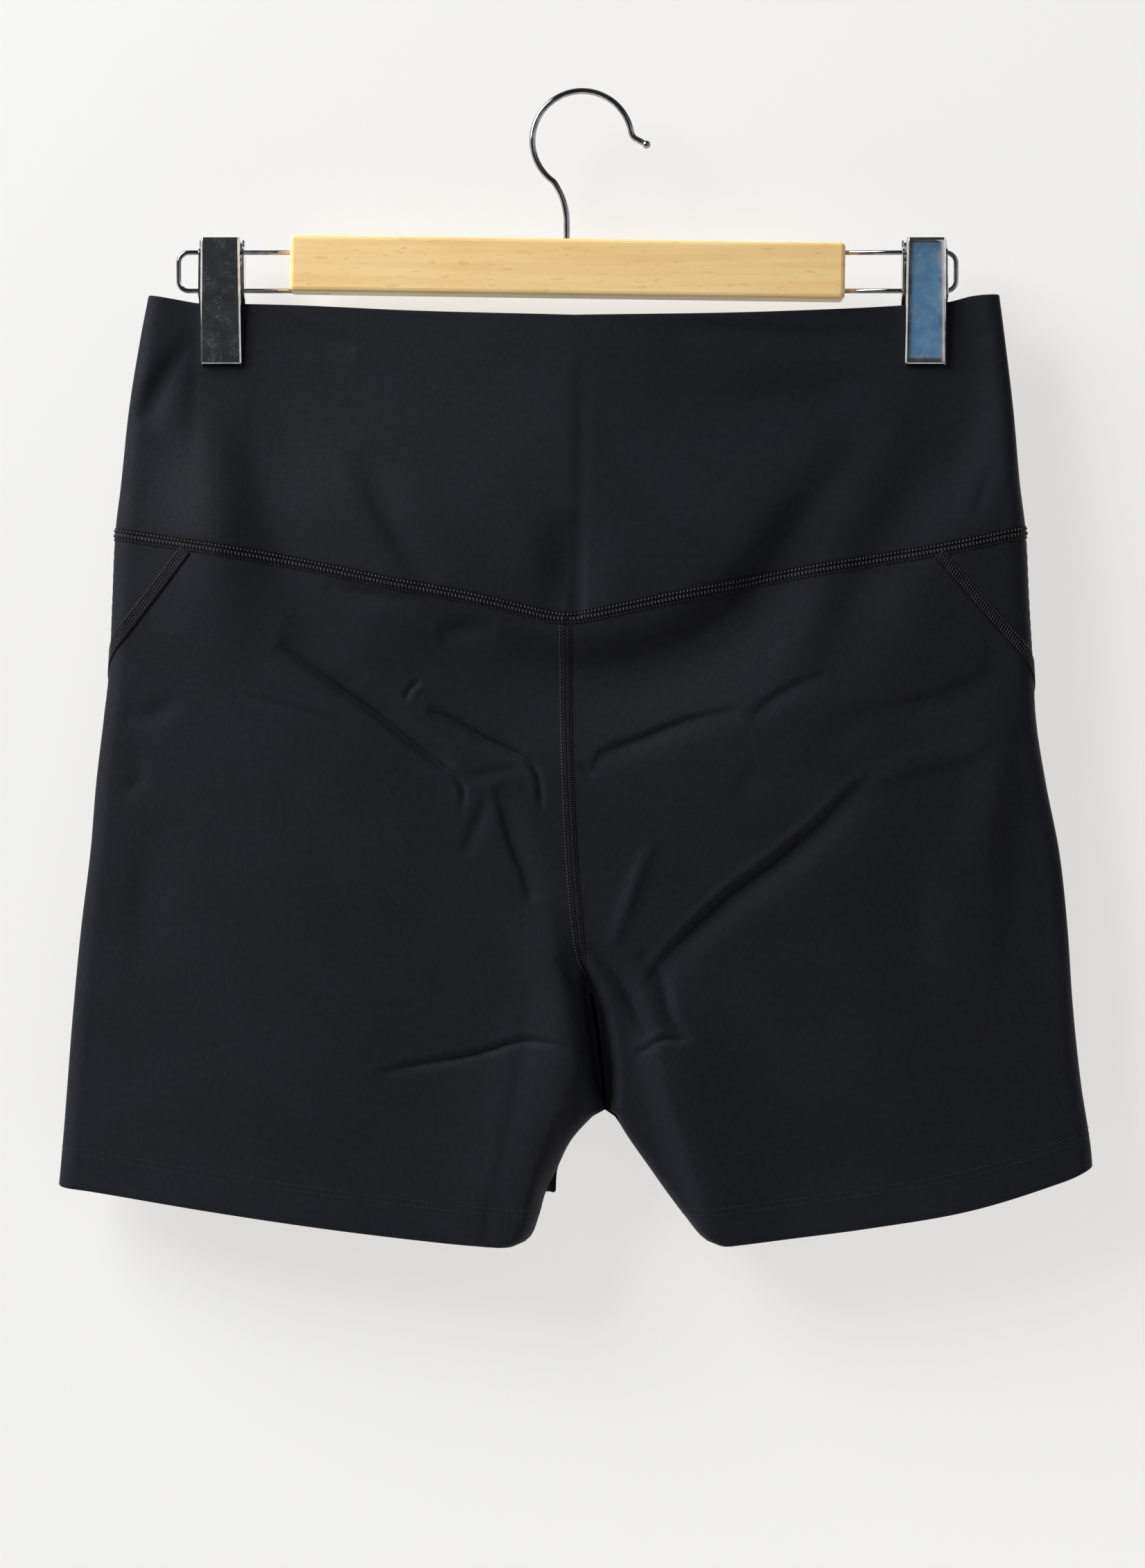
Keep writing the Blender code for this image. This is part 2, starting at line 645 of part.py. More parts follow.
def add_bar(collection, cutters, material):
    """The wooden bar, with blind holes for the wires' ends and the hook's stem."""
    bm = bmesh.new()
    bmesh.ops.create_cube(bm, size=1.0)
    bmesh.ops.scale(bm, vec=(BAR_LENGTH, BAR_THICKNESS, BAR_HEIGHT), verts=bm.verts)
    mesh = bpy.data.meshes.new("hanger_bar")
    bm.to_mesh(mesh)
    bm.free()
    bar = add_object("hanger_bar", mesh, collection, material)
    bar.location = BAR_MIDDLE
    bar.rotation_euler = (0.0, BAR_TILT, 0.0)
    bevel = bar.modifiers.new("rounded edges", "BEVEL")
    bevel.width = BAR_EDGE_RADIUS
    bevel.segments = 3
    deeper = WIRE_IN_BAR + GAP
    for side, outwards in (("left", -1), ("right", 1)):
        end_x = BAR_MIDDLE[0] + outwards * BAR_LENGTH / 2
        for place, z in (("upper", WIRE_UPPER_Z), ("lower", WIRE_LOWER_Z)):
            start = (end_x - outwards * deeper, 0.0, z)
            end = (end_x + outwards * deeper, 0.0, z)
            cut(bar, add_cutter(f"hole_{side}_{place}", WIRE_RADIUS + GAP, start, end, cutters))
    bar_top = BAR_MIDDLE[2] + BAR_HEIGHT / 2
    stem_bottom = (HOOK_STEM_X, 0.0, bar_top - HOOK_STEM_IN_BAR - GAP)
    stem_top = (HOOK_STEM_X, 0.0, bar_top + HOOK_STEM_IN_BAR)
    cut(bar, add_cutter("hole_stem", HOOK_WIRE_RADIUS + GAP, stem_bottom, stem_top, cutters))
    return bar


# ---------------------------------------------------------------- clips

# A row of a clip plate: height, and how far its side flanges reach past the cloth plane
# (negative: they stop short of it, on the plate's own side).
PlateRow = namedtuple("PlateRow", "z curl reach")


def plate_rows(extra_top, extra_bottom, extra_reach):
    """Rows of a plate whose flanges reach across the cloth plane between two heights."""
    step = 0.0004
    rest = -CLIP_EDGE_Y
    return (
        PlateRow(CLIP_TOP_Z, 0.0006, rest),
        PlateRow(CLIP_TOP_Z - 0.0010, 0.0, rest),
        PlateRow(extra_top + step, 0.0, rest),
        PlateRow(extra_top - step, 0.0, extra_reach),
        PlateRow(extra_bottom + step, 0.0, extra_reach),
        PlateRow(extra_bottom - step, 0.0, rest),
        PlateRow(CLIP_BOTTOM_Z + 0.0010, 0.0, rest),
        PlateRow(CLIP_BOTTOM_Z, 0.0004, rest),
    )


def clip_plate(name, clip_x, facing, widen, rows, wires, collection, cutters, material):
    """A pressed plate with side flanges; facing is -1 for the front plate, +1 for the back one."""
    corner = 0.0012
    corner_steps = 3

    def across(half_width, face_y, edge_y):
        """Half the plate's section, from a flange's edge round the corner to the middle."""
        side = [(half_width, edge_y), (half_width, face_y - corner)]
        for i in range(1, corner_steps + 1):
            angle = pi / 2 * i / corner_steps
            place = (half_width - corner + corner * cos(angle), face_y - corner + corner * sin(angle))
            side.append(place)
        side.append((0.0, face_y))
        return side

    columns = 2 * (corner_steps + 2)
    middle = columns // 2
    bm = bmesh.new()
    bmesh.ops.create_grid(bm, x_segments=columns, y_segments=len(rows) - 1, size=1.0)
    for vert in bm.verts:
        column = round((vert.co.x + 1) / 2 * columns)
        row = rows[round((1 - vert.co.y) / 2 * (len(rows) - 1))]
        down = (CLIP_TOP_Z - row.z) / (CLIP_TOP_Z - CLIP_BOTTOM_Z)
        half_width = blend(CLIP_TOP_HALF_WIDTH, CLIP_BOTTOM_HALF_WIDTH, down) + widen
        face_y = blend(CLIP_TOP_Y, CLIP_BOTTOM_Y, down) - row.curl
        x, y = across(half_width, face_y, -row.reach)[min(column, columns - column)]
        sign = -1 if column < middle else 1
        vert.co = (clip_x + sign * x, facing * y, row.z)
    if facing > 0:
        bmesh.ops.reverse_faces(bm, faces=bm.faces)
    mesh = bpy.data.meshes.new(name)
    bm.to_mesh(mesh)
    bm.free()
    mesh.shade_smooth()
    mesh.set_sharp_from_angle(angle=radians(40))
    plate = add_object(name, mesh, collection, material)
    solidify = plate.modifiers.new("metal", "SOLIDIFY")
    solidify.thickness = CLIP_METAL
    solidify.offset = -1.0
    for wire_z in wires:
        start = (clip_x - 0.015, 0.0, wire_z)
        end = (clip_x + 0.015, 0.0, wire_z)
        hole = add_cutter(f"{name}_hole_{wires.index(wire_z)}", WIRE_RADIUS + GAP, start, end, cutters)
        cut(plate, hole)
    return plate


def add_spring(name, clip_x, collection, material):
    """A torsion spring round the lower wire, its arms against the two plates."""
    down = (CLIP_TOP_Z - SPRING_ARM_Z) / (CLIP_TOP_Z - CLIP_BOTTOM_Z)
    plate_inside = blend(CLIP_TOP_Y, CLIP_BOTTOM_Y, down) - CLIP_METAL
    arm_y = plate_inside - SPRING_WIRE_RADIUS - GAP
    count = SPRING_TURNS * ROUND_STEPS
    line = [(clip_x - SPRING_HALF_LENGTH, -arm_y, SPRING_ARM_Z)]
    for i in range(count + ROUND_STEPS // 2 + 1):
        angle = pi + 2 * pi * i / ROUND_STEPS
        share = i / (count + ROUND_STEPS // 2)
        x = clip_x + blend(-SPRING_HALF_LENGTH, SPRING_HALF_LENGTH, share)
        y = SPRING_COIL_RADIUS * cos(angle)
        z = WIRE_LOWER_Z + SPRING_COIL_RADIUS * sin(angle)
        line.append((x, y, z))
    line.append((clip_x + SPRING_HALF_LENGTH, arm_y, SPRING_ARM_Z))
    return wire_object(name, line, SPRING_WIRE_RADIUS, 1, collection, material)


def add_clip(side, collection, cutters, material):
    clip_x = CLIP_X[0] if side == "left" else CLIP_X[1]
    lugs = plate_rows(LUG_TOP_Z, EAR_BOTTOM_Z, EAR_REACH_Y)
    ears = plate_rows(EAR_TOP_Z, EAR_BOTTOM_Z, EAR_REACH_Y)
    both_wires = (WIRE_UPPER_Z, WIRE_LOWER_Z)
    ear_widening = CLIP_METAL + GAP + 0.0002
    clip_plate(
        f"clip_{side}_front", clip_x, -1, 0.0, lugs, (WIRE_LOWER_Z,), collection, cutters, material
    )
    clip_plate(
        f"clip_{side}_back", clip_x, 1, ear_widening, ears, both_wires, collection, cutters, material
    )
    add_spring(f"clip_{side}_spring", clip_x, collection, material)


# ---------------------------------------------------------------- build


def build():
    for obj in list(bpy.data.objects):
        bpy.data.objects.remove(obj, do_unlink=True)
    scene = bpy.context.scene
    parts = bpy.data.collections.new("cycling_shorts_on_hanger")
    cutters = bpy.data.collections.new("cutters")
    scene.collection.children.link(parts)
    scene.collection.children.link(cutters)

    knit = make_material("black knit", (36, 37, 43), 0.62)
    wood = make_material("pale beech", (240, 206, 142), 0.45)
    chrome = make_material("chrome", (214, 216, 220), 0.12, metallic=1.0)

    for face in ("front", "back"):
        waistband(face, parts, knit)
        for side in ("left", "right"):
            leg_panel(face, side, parts, knit)
    add_bar(parts, cutters, wood)
    add_hook(parts, chrome)
    for side in ("left", "right"):
        add_wire_loop(side, parts, chrome)
        add_clip(side, parts, cutters, chrome)


build()
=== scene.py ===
# %% [markdown]
# # Black cycling shorts on a wooden clip hanger
#
# The solids of the shorts and of their hanger come in as the frame of this scene. Everything below
# is a finer piece laid in the same place: knitted cloth with its drag folds, flat seams sewn with
# real loops of thread, bent and plated steel wire, pressed clips, and a beech bar.
# Lengths are metres. +X is to the right, -Y is towards the viewer and +Z is up.

from math import cos, pi, radians, sin

import bmesh
import bpy
import numpy as np
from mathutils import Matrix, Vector


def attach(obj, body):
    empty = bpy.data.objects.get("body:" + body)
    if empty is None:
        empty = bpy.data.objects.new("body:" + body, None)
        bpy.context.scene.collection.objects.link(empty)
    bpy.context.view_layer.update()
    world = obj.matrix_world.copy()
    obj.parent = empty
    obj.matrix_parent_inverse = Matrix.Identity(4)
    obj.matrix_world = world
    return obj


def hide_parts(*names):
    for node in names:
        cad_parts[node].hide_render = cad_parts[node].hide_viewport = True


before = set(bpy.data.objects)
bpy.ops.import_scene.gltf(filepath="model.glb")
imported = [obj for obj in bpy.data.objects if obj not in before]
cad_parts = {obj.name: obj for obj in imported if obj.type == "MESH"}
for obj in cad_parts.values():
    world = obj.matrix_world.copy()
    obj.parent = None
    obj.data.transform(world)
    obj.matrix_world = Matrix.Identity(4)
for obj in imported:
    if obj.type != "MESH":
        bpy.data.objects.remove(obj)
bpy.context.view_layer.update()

# %% [markdown]
# ## The form of the garment
#
# The shorts hang flat, so they are a front face and a back face that meet in a soft fold at each
# side. Four short tables give the lines that a pattern cutter would draw: the top edge, the yoke
# seam and the hem across each half, and the side edge, centre seam and inseams down it. A smooth
# curve through a few rows keeps the lines as easy to change as a paper pattern.

# %% Lines of the pattern
GAP = 0.0003
LEG_WALL = 0.0012
BAND_WALL = 0.0016
SIDE_RADIUS = 0.007
INSEAM_RADIUS = {"left": 0.0075, "right": 0.0045}
FOLD_LENGTH = pi / 2 * SIDE_RADIUS
SIDE_DEPTH, MIDDLE_DEPTH, WAIST_DEPTH = 0.0066, 0.0130, 0.0068
GRIP_DEPTH = (BAND_WALL + GAP) / 2
WAIST_CENTRE_X, V_X, V_Z = -0.0038, -0.0080, -0.2435
CROTCH_X, CROTCH_Z = 0.0105, -0.4688
COLUMN = {"left": 1, "right": 2}
OUTWARDS = {"left": -1, "right": 1}

# share across half the garment, height on the left half, height on the right half
WAIST_LINE = (
    (0.00, -0.0931, -0.0926),
    (0.06, -0.0950, -0.0935),
    (0.12, -0.0968, -0.0962),
    (0.22, -0.0970, -0.0976),
    (0.36, -0.0978, -0.0992),
    (0.64, -0.1006, -0.1014),
    (1.00, -0.1028, -0.1028),
)
YOKE_LINE = {
    "front": (
        (0.0, -0.2028, -0.2016),
        (0.2, -0.2094, -0.2106),
        (0.4, -0.2164, -0.2174),
        (0.6, -0.2250, -0.2251),
        (0.8, -0.2329, -0.2339),
        (1.0, V_Z, V_Z),
    ),
    "back": ((0.0, -0.2028, -0.2016), (0.5, -0.2075, -0.2065), (1.0, -0.2105, -0.2105)),
}
HEM_LINE = {
    "front": (
        (0.00, -0.5029, -0.4944),
        (0.08, -0.5050, -0.5003),
        (0.33, -0.5134, -0.5131),
        (0.60, -0.5218, -0.5212),
        (0.85, -0.5282, -0.5270),
        (1.00, -0.5306, -0.5302),
    ),
    "back": (
        (0.0, -0.5029, -0.4944),
        (0.2, -0.5050, -0.5030),
        (0.5, -0.5085, -0.5125),
        (0.8, -0.5085, -0.5190),
        (1.0, -0.5060, -0.5215),
    ),
}
# height, place of the edge on the left half, place of the edge on the right half
SIDE_EDGE = (
    (-0.0931, -0.2002, 0.1926),
    (-0.1140, -0.2042, 0.1953),
    (-0.1460, -0.2093, 0.1991),
    (-0.1800, -0.2129, 0.2021),
    (-0.2030, -0.2156, 0.2049),
    (-0.2340, -0.2170, 0.2064),
    (-0.2660, -0.2184, 0.2083),
    (-0.2900, -0.2211, 0.2096),
    (-0.3180, -0.2244, 0.2140),
    (-0.3500, -0.2271, 0.2203),
    (-0.3840, -0.2312, 0.2240),
    (-0.4200, -0.2347, 0.2264),
    (-0.4560, -0.2376, 0.2301),
    (-0.4850, -0.2399, 0.2346),
    (-0.5030, -0.2415, 0.2360),
)
# height, place of the seam, and how far it stands off the garment's middle plane as a share of
# the cloth beside it: at the crotch it lies at the bottom of a deep valley
CENTRE_SEAM = {
    "front": (
        (-0.2105, V_X, 1.0),
        (-0.2925, -0.0074, 1.0),
        (-0.3475, -0.0053, 1.0),
        (-0.3800, -0.0028, 1.0),
        (-0.3981, -0.0006, 0.80),
        (-0.4130, 0.0036, 0.28),
        (-0.4301, 0.0066, 0.06),
        (-0.4493, 0.0090, 0.0),
        (CROTCH_Z, CROTCH_X, 0.0),
    ),
    "back": (
        (-0.2105, V_X, 1.0),
        (-0.2925, -0.0074, 1.0),
        (-0.3475, -0.0053, 1.0),
        (-0.3981, -0.0016, 0.91),
        (-0.4301, 0.0032, 0.73),
        (-0.4493, 0.0070, 0.53),
        (-0.4600, 0.0090, 0.35),
        (CROTCH_Z, CROTCH_X, 0.0),
    ),
}
INSEAM = {
    "front": (
        (CROTCH_Z, CROTCH_X, CROTCH_X),
        (-0.4708, 0.0062, 0.0140),
        (-0.4822, -0.0045, 0.0215),
        (-0.4956, -0.0113, 0.0310),
        (-0.5072, -0.0168, 0.0392),
        (-0.5178, -0.0198, 0.0473),
        (-0.5276, -0.0240, 0.0556),
        (-0.5306, -0.0300, 0.0625),
    ),
    "back": (
        (CROTCH_Z, CROTCH_X, CROTCH_X),
        (-0.4708, 0.0062, 0.0140),
        (-0.4822, -0.0045, 0.0215),
        (-0.4946, -0.0108, 0.0306),
        (-0.5060, -0.0120, 0.0388),
        (-0.5215, -0.0120, 0.0500),
    ),
}


def smoothstep(value):
    """0 below 0, 1 above 1, and a soft rise between."""
    value = np.clip(value, 0.0, 1.0)
    return value * value * (3 - 2 * value)


def blend(start, end, share):
    return start + (end - start) * share


def read_table(rows, at, column):
    """A column of a table, read along a smooth curve at any values of the first column."""
    table = np.array(rows, dtype=float)
    keys, values = table[:, 0], table[:, column]
    if keys[0] > keys[-1]:
        keys, values = keys[::-1], values[::-1]
    last = len(keys) - 1
    low = np.maximum(np.arange(last + 1) - 1, 0)
    high = np.minimum(np.arange(last + 1) + 1, last)
    slopes = (values[high] - values[low]) / (keys[high] - keys[low])
    at = np.clip(at, keys[0], keys[-1])
    i = np.clip(np.searchsorted(keys, at, side="right") - 1, 0, last - 1)
    step = keys[i + 1] - keys[i]
    t = (at - keys[i]) / step
    return (
        values[i] * (2 * t**3 - 3 * t**2 + 1)
        + slopes[i] * step * (t**3 - 2 * t**2 + t)
        + values[i + 1] * (3 * t**2 - 2 * t**3)
        + slopes[i + 1] * step * (t**3 - t**2)
    )


print("hem at a quarter:", read_table(HEM_LINE["front"], np.array([0.25]), 1))

# %% [markdown]
# ## Folds that the hanging weight pulls into the cloth
#
# Stretch knit that hangs from two clips shows drag lines that run from the crotch and the clips
# towards the hips: a few crisp creases, and broad, soft hollows between them. A cloth simulation
# makes such folds, but never where the real shorts have them. So each one is given as a short path
# with a depth and a width on either side. A crease with one steep and one gentle side is what makes
# cloth look pulled rather than dented.

# %% Paths of the folds
# In millimetres: depth (negative: a ridge), widths above and below the path, height of a bank
# beside it as a share of the depth (above it, or below it where negative), and the path itself.
FRONT_FOLDS = (
    (1.6, 3.5, 9, 0, (-158, -107), (-140, -109.5), (-122, -112), (-104, -118)),
    (2.6, 5, 8, 0, (-177, -114), (-186, -122), (-196, -138), (-204, -155)),
    (-5.0, 17, 18, 0, (-181, -98), (-179, -120), (-176, -145), (-171, -175), (-167, -210), (-166, -245),
     (-170, -275)),
    (2.4, 30, 14, 0, (-155, -124), (-149, -165), (-139, -200), (-125, -236), (-111, -264)),
    (1.6, 9, 5, -0.2, (-103, -166), (-91, -193), (-80, -212), (-66, -226)),
    (2.8, 9, 13, 0, (-7, -192), (-8, -222), (-12, -248)),
    (1.5, 3, 8, 0, (149, -112), (130, -112.5), (108, -111), (40, -107)),
    (1.8, 4, 7, 0, (171, -104), (170, -123), (169, -142), (163, -160)),
    (5.0, 13, 20, 0, (176, -94), (174, -112), (172, -137), (164, -163), (150, -190), (133, -218),
     (118, -252), (106, -284)),
    (0.8, 6, 10, 0, (137, -133), (100, -139), (50, -142)),
    (0.5, 1.5, 3, 0, (188, -173), (184, -184), (179, -198)),
    (0.6, 2.5, 4, 0, (176, -112), (190, -111.5)),
    (1.1, 1.8, 5, 0, (-118, -226.5), (-104, -230), (-90, -232.5), (-74, -234)),
    (1.4, 4, 6, 0, (-66, -250), (-52, -246.5), (-40, -248)),
    (9.5, 11, 26, 0, (-88, -232), (-70, -243), (-34, -260), (0, -268), (38, -260), (62, -246),
     (82, -228), (104, -196), (122, -172), (134, -152)),
    (2.4, 6, 5, -0.3, (-139, -254), (-117, -270), (-97, -284), (-81, -297), (-60, -312)),
    (2.2, 1.5, 1.3, -0.4, (-139, -255), (-131, -261), (-117, -271), (-97, -285), (-81, -298), (-67, -309),
     (-58, -315.5), (-54.6, -321), (-55, -330)),
    (1.0, 5, 8, 0, (-136, -244), (-118, -256), (-100, -272)),
    (1.8, 3.5, 5, -0.2, (-70, -284), (-48, -296), (-27, -306)),
    (1.6, 1.5, 1.4, -0.3, (-72, -284), (-60, -289), (-48, -296), (-36, -302), (-27, -306.5), (-22, -311),
     (-19.5, -319), (-18.8, -331)),
    (2.0, 7, 1.5, 0, (-40, -319), (-37, -330), (-33, -345.7), (-27, -360), (-24, -373)),
    (0.6, 2, 3, 0, (-54, -316), (-45, -314), (-34, -312), (-26, -311)),
    (0.8, 2.5, 4, 0, (-43, -322), (-48, -336), (-55, -352)),
    (0.8, 1.3, 1.3, -0.4, (-81, -281), (-79, -275.5), (-74, -271)),
    (0.4, 1.5, 1.5, 0, (-79, -246), (-67, -258), (-52, -273)),
    (0.35, 1.5, 2.5, 0.4, (-160, -277), (-141, -281.5), (-125, -286), (-105, -292)),
    (0.9, 4, 6, 0, (-212, -286), (-198, -287), (-186, -277)),
    (0.9, 4, 4, 0, (-208, -298), (-203, -316), (-214, -324)),
    (1.7, 9, 13, 0, (-198, -329), (-199, -350), (-200, -375), (-200, -410)),
    (1.7, 1.2, 2.4, 0.2, (-96, -451.5), (-74, -446.3), (-50, -442.3), (-34, -437.3), (-26, -435.7),
     (-14, -437), (-6, -439.5)),
    (0.6, 4, 8, 0, (-90, -450), (-50, -442), (-14, -437)),
    (0.7, 4, 9, 0, (-22, -405), (-28, -449), (-34, -481), (-38, -505), (-38.5, -527)),
    (0.6, 2.5, 3, 0, (-43, -508), (-43.5, -530)),
    (1.8, 5, 2, 0, (-12, -397), (-7, -405), (-2, -417)),
    (0.8, 1.3, 1.3, 0, (-1.5, -308.5), (4.4, -315.5)),
    (1.7, 1.6, 6, 0, (4.4, -315), (7.5, -306), (14, -302.5), (30, -296.5), (50, -289), (72, -284.5)),
    (1.1, 1.4, 5, 0, (76, -289), (86.4, -279.7), (98.4, -272.7), (112, -268)),
    (2.8, 1.8, 9, 0.2, (133, -315.5), (122, -323), (110, -335), (87.6, -354), (69.6, -367), (49.6, -385.5),
     (35.6, -401), (29, -412)),
    (-1.4, 9, 4, 0, (128, -320), (150, -311), (172, -306), (188, -297)),
    (1.2, 4, 9, 0, (186, -243), (187, -266), (168, -277.5), (146, -283.5), (112, -289)),
    (-2.4, 13, 6, 0, (205, -281), (194, -294), (191, -320), (187, -345), (185, -366)),
    (2.2, 14, 18, 0, (146, -325), (150, -365), (153, -400), (154, -435)),
    (3.0, 10, 25, 0, (203, -312), (201, -345), (200, -375), (193, -425)),
    (0.5, 5, 7, 0, (82, -309), (74, -320), (67, -332)),
    (0.5, 5, 7, 0, (108, -301), (122, -293), (132, -286)),
    (-1.3, 3.5, 3, 0, (33, -345), (27.4, -356), (21, -373), (14, -393)),
    (2.6, 2.5, 4, 0, (2, -391), (11, -400), (19, -410), (26, -424), (33, -437)),
    (1.8, 3, 4, 0, (26, -396), (36, -407), (40, -424), (48, -437)),
    (1.2, 1.3, 2, 0.4, (24, -443), (31.6, -438.3), (37.6, -435), (47, -436)),
    (-5.8, 28, 8, 0, (24, -398), (30, -414), (41, -462), (55, -505), (68, -556)),
    (-6.2, 30, 6, 0, (4, -410), (2, -428), (-8, -460), (-18, -482), (-26, -508), (-34, -560)),
    (-4.0, 6, 15, 0, (-18, -368), (-13, -394), (-9, -418), (-6, -440), (-5, -463)),
)
BACK_FOLDS = (
    (2.6, 5, 4, -0.3, (122, -262), (84, -290), (50, -322), (38, -345)),
    (1.8, 1.5, 1.3, -0.4, (122, -262), (84, -290), (50, -322), (38, -345)),
    (2.6, 2.4, 8, 0.3, (-118, -322), (-78, -346), (-30, -390)),
    (-1.6, 5, 5, 0, (50, -330), (30, -362), (12, -402)),
    (1.8, 2, 5, -0.3, (-62, -294), (-34, -306), (-10, -332)),
    (1.2, 1.3, 2.4, 0.4, (110, -452), (72, -446), (30, -440)),
    (1.6, 6, 9, 0, (-70, -470), (-56, -486), (-46, -508)),
    (1.8, 8, 14, 0, (-192, -300), (-196, -360), (-196, -430)),
    (2.4, 6, 14, 0.2, (128, -150), (104, -178), (80, -206)),
    (1.8, 12, 6, 0, (-150, -140), (-128, -168), (-104, -196)),
    (1.5, 1.6, 5, 0, (20, -300), (46, -286), (70, -282)),
    (2.8, 7, 16, 0, (-60, -226), (-20, -236), (20, -234), (64, -222)),
    (-1.4, 8, 8, 0, (-52, -440), (-60, -480), (-66, -505)),
    (2.2, 6, 10, 0, (170, -108), (173, -140), (160, -168)),
    (2.0, 5, 8, 0, (-178, -112), (-187, -126), (-198, -150)),
)
MM = 0.001


def fold_effect(face, x, z):
    """How far a face's folds push its cloth inwards at the places (x, z)."""
    total = np.zeros_like(x)
    for depth, above, below, bank, *path in FRONT_FOLDS if face == "front" else BACK_FOLDS:
        corners = np.array(path) * MM
        reach = 3.4 * max(above, below) * MM
        low, high = corners.min(0) - reach, corners.max(0) + reach
        near = (x > low[0]) & (x < high[0]) & (z > low[1]) & (z < high[1])
        if not near.any():
            continue
        rows = np.column_stack((np.linspace(0.0, 1.0, len(corners)), corners))
        fine = np.linspace(0.0, 1.0, 6 * len(corners))
        line_x, line_z = read_table(rows, fine, 1), read_table(rows, fine, 2)
        px, pz = x[near][:, None], z[near][:, None]
        run_x, run_z = np.diff(line_x), np.diff(line_z)
        length = np.hypot(run_x, run_z)
        along = ((px - line_x[:-1]) * run_x + (pz - line_z[:-1]) * run_z) / length**2
        held = np.clip(along, 0.0, 1.0)
        off_x = px - line_x[:-1] - held * run_x
        off_z = pz - line_z[:-1] - held * run_z
        distance = np.hypot(off_x, off_z)
        best = np.argmin(distance, axis=1)
        pick = np.arange(len(best))
        distance = distance[pick, best]
        turn = run_x[best] * off_z[pick, best] - run_z[best] * off_x[pick, best]
        is_above = turn * (1.0 if corners[-1, 0] >= corners[0, 0] else -1.0) > 0
        width = np.where(is_above, above, below) * MM
        bank_here = np.where(is_above, max(bank, 0.0), max(-bank, 0.0))
        share = (length.cumsum()[best] - length[best] * (1 - held[pick, best])) / length.sum()
        # a crisp crease keeps its depth nearly to its ends, a broad one fades slowly
        fade = 0.6 if max(above, below) < 10 else 1.2
        taper = np.abs(np.sin(pi * np.clip(share, 0.0, 1.0))) ** fade
        trough = np.exp(-((distance / width) ** 2))
        beside = np.exp(-(((distance / width - 2.1) / 1.0) ** 2))
        total[near] += depth * MM * taper * (trough - bank_here * beside)
    return total


print("folds placed by hand:", len(FRONT_FOLDS) + len(BACK_FOLDS))

# %% [markdown]
# ## From the pattern to points in space
#
# A point of the cloth is named by its half, how far round from the side fold it lies, and its
# height share. One function turns those into a place, so panels, seams and stitches that use it
# always lie on the same surface. Numpy works out a whole panel in one go, which keeps it quick.

# %% Points on the cloth
CLIP_X = (-0.1665, 0.1582)
GRIP_HALF_WIDTH, GRIP_END_Z, RELEASE_Z = 0.0125, -0.129, -0.205
RELEASE_INWARDS, RELEASE_OUTWARDS = 0.155, 0.030
# height, then half the width of the valley's floor there on the left leg and on the right (front only)
VALLEY = (
    (-0.4020, 0.0, 0.0),
    (-0.4130, 0.0018, 0.0022),
    (-0.4250, 0.0036, 0.0040),
    (-0.4520, 0.0032, 0.0042),
    (-0.4640, 0.0004, 0.0030),
    (-0.4760, 0.0, 0.0),
)
BODY_END_Z, LEGS_START_Z = -0.370, -0.480
PARTING = 0.00022           # mid-wall distance of an inseam edge from the garment's middle plane
PRESSED_LINE_DEPTH = 0.0007


def clip_grip(x, z):
    """1 where a clip presses the layers together, falling to 0 away from it."""
    lower = 1 - smoothstep((GRIP_END_Z - z) / (GRIP_END_Z - RELEASE_Z))
    grip = np.zeros_like(x)
    for clip_x in CLIP_X:
        off = x - clip_x
        release = np.where(off * clip_x > 0, RELEASE_OUTWARDS, RELEASE_INWARDS)
        away = np.clip((abs(off) - GRIP_HALF_WIDTH) / release, 0.0, 1.0)
        grip = np.maximum(grip, 1 - (away + smoothstep(away)) / 2)
    return grip * lower


def pressed_line(zone, x, z):
    """The faint crease down the middle of the waistband, where the shorts were folded in two."""
    if zone != "band":
        return 0.0
    middle = blend(0.0002, -0.0022, (z + 0.1028) / (V_Z + 0.1028))
    fades = smoothstep((-0.110 - z) / 0.05) * (1 + 1.2 * smoothstep((-0.205 - z) / 0.03))
    return PRESSED_LINE_DEPTH * fades * np.exp(-(((x - middle) / 0.0019) ** 2))


def half_depth(zone, face, x, z, share):
    """Distance of a face's cloth from the garment's middle plane."""
    leg = smoothstep((BODY_END_Z - z) / (BODY_END_Z - LEGS_START_Z))
    body = np.sin(pi / 2 * np.minimum(share / 0.5, 1.0))
    bulge = blend(body, np.sin(pi * share), leg * (0.3 if face == "front" else 1.0))
    lower = smoothstep((-0.095 - z) / 0.13)
    middle = blend(WAIST_DEPTH, MIDDLE_DEPTH, lower)
    side = blend(WAIST_DEPTH * 0.6, SIDE_DEPTH, lower)
    grip = clip_grip(x, z)
    depth = blend(blend(side, middle, bulge), GRIP_DEPTH, grip)
    # a trough never reaches the layer behind it, and nothing bulges under a clip
    room = np.maximum(depth - GRIP_DEPTH, 1e-6) * 0.85
    fold = fold_effect(face, x, z) + pressed_line(zone, x, z)
    return depth - np.where(fold > 0, room * np.tanh(fold / room), fold * (1 - grip**3))


def crotch_share(face, side):
    """Share of a leg's height, along its inner end, at which the crotch lies."""
    top = read_table(YOKE_LINE[face], 1.0, COLUMN[side])
    bottom = read_table(HEM_LINE[face], 1.0, COLUMN[side])
    return (top - CROTCH_Z) / (top - bottom)


def back_height(side, height):
    """A height share moved so that the back's inner end meets the crotch on the front's row."""
    front, back = crotch_share("front", side), crotch_share("back", side)
    below = blend(back, 1.0, (height - front) / (1 - front))
    return np.where(height < front, height / front * back, below)


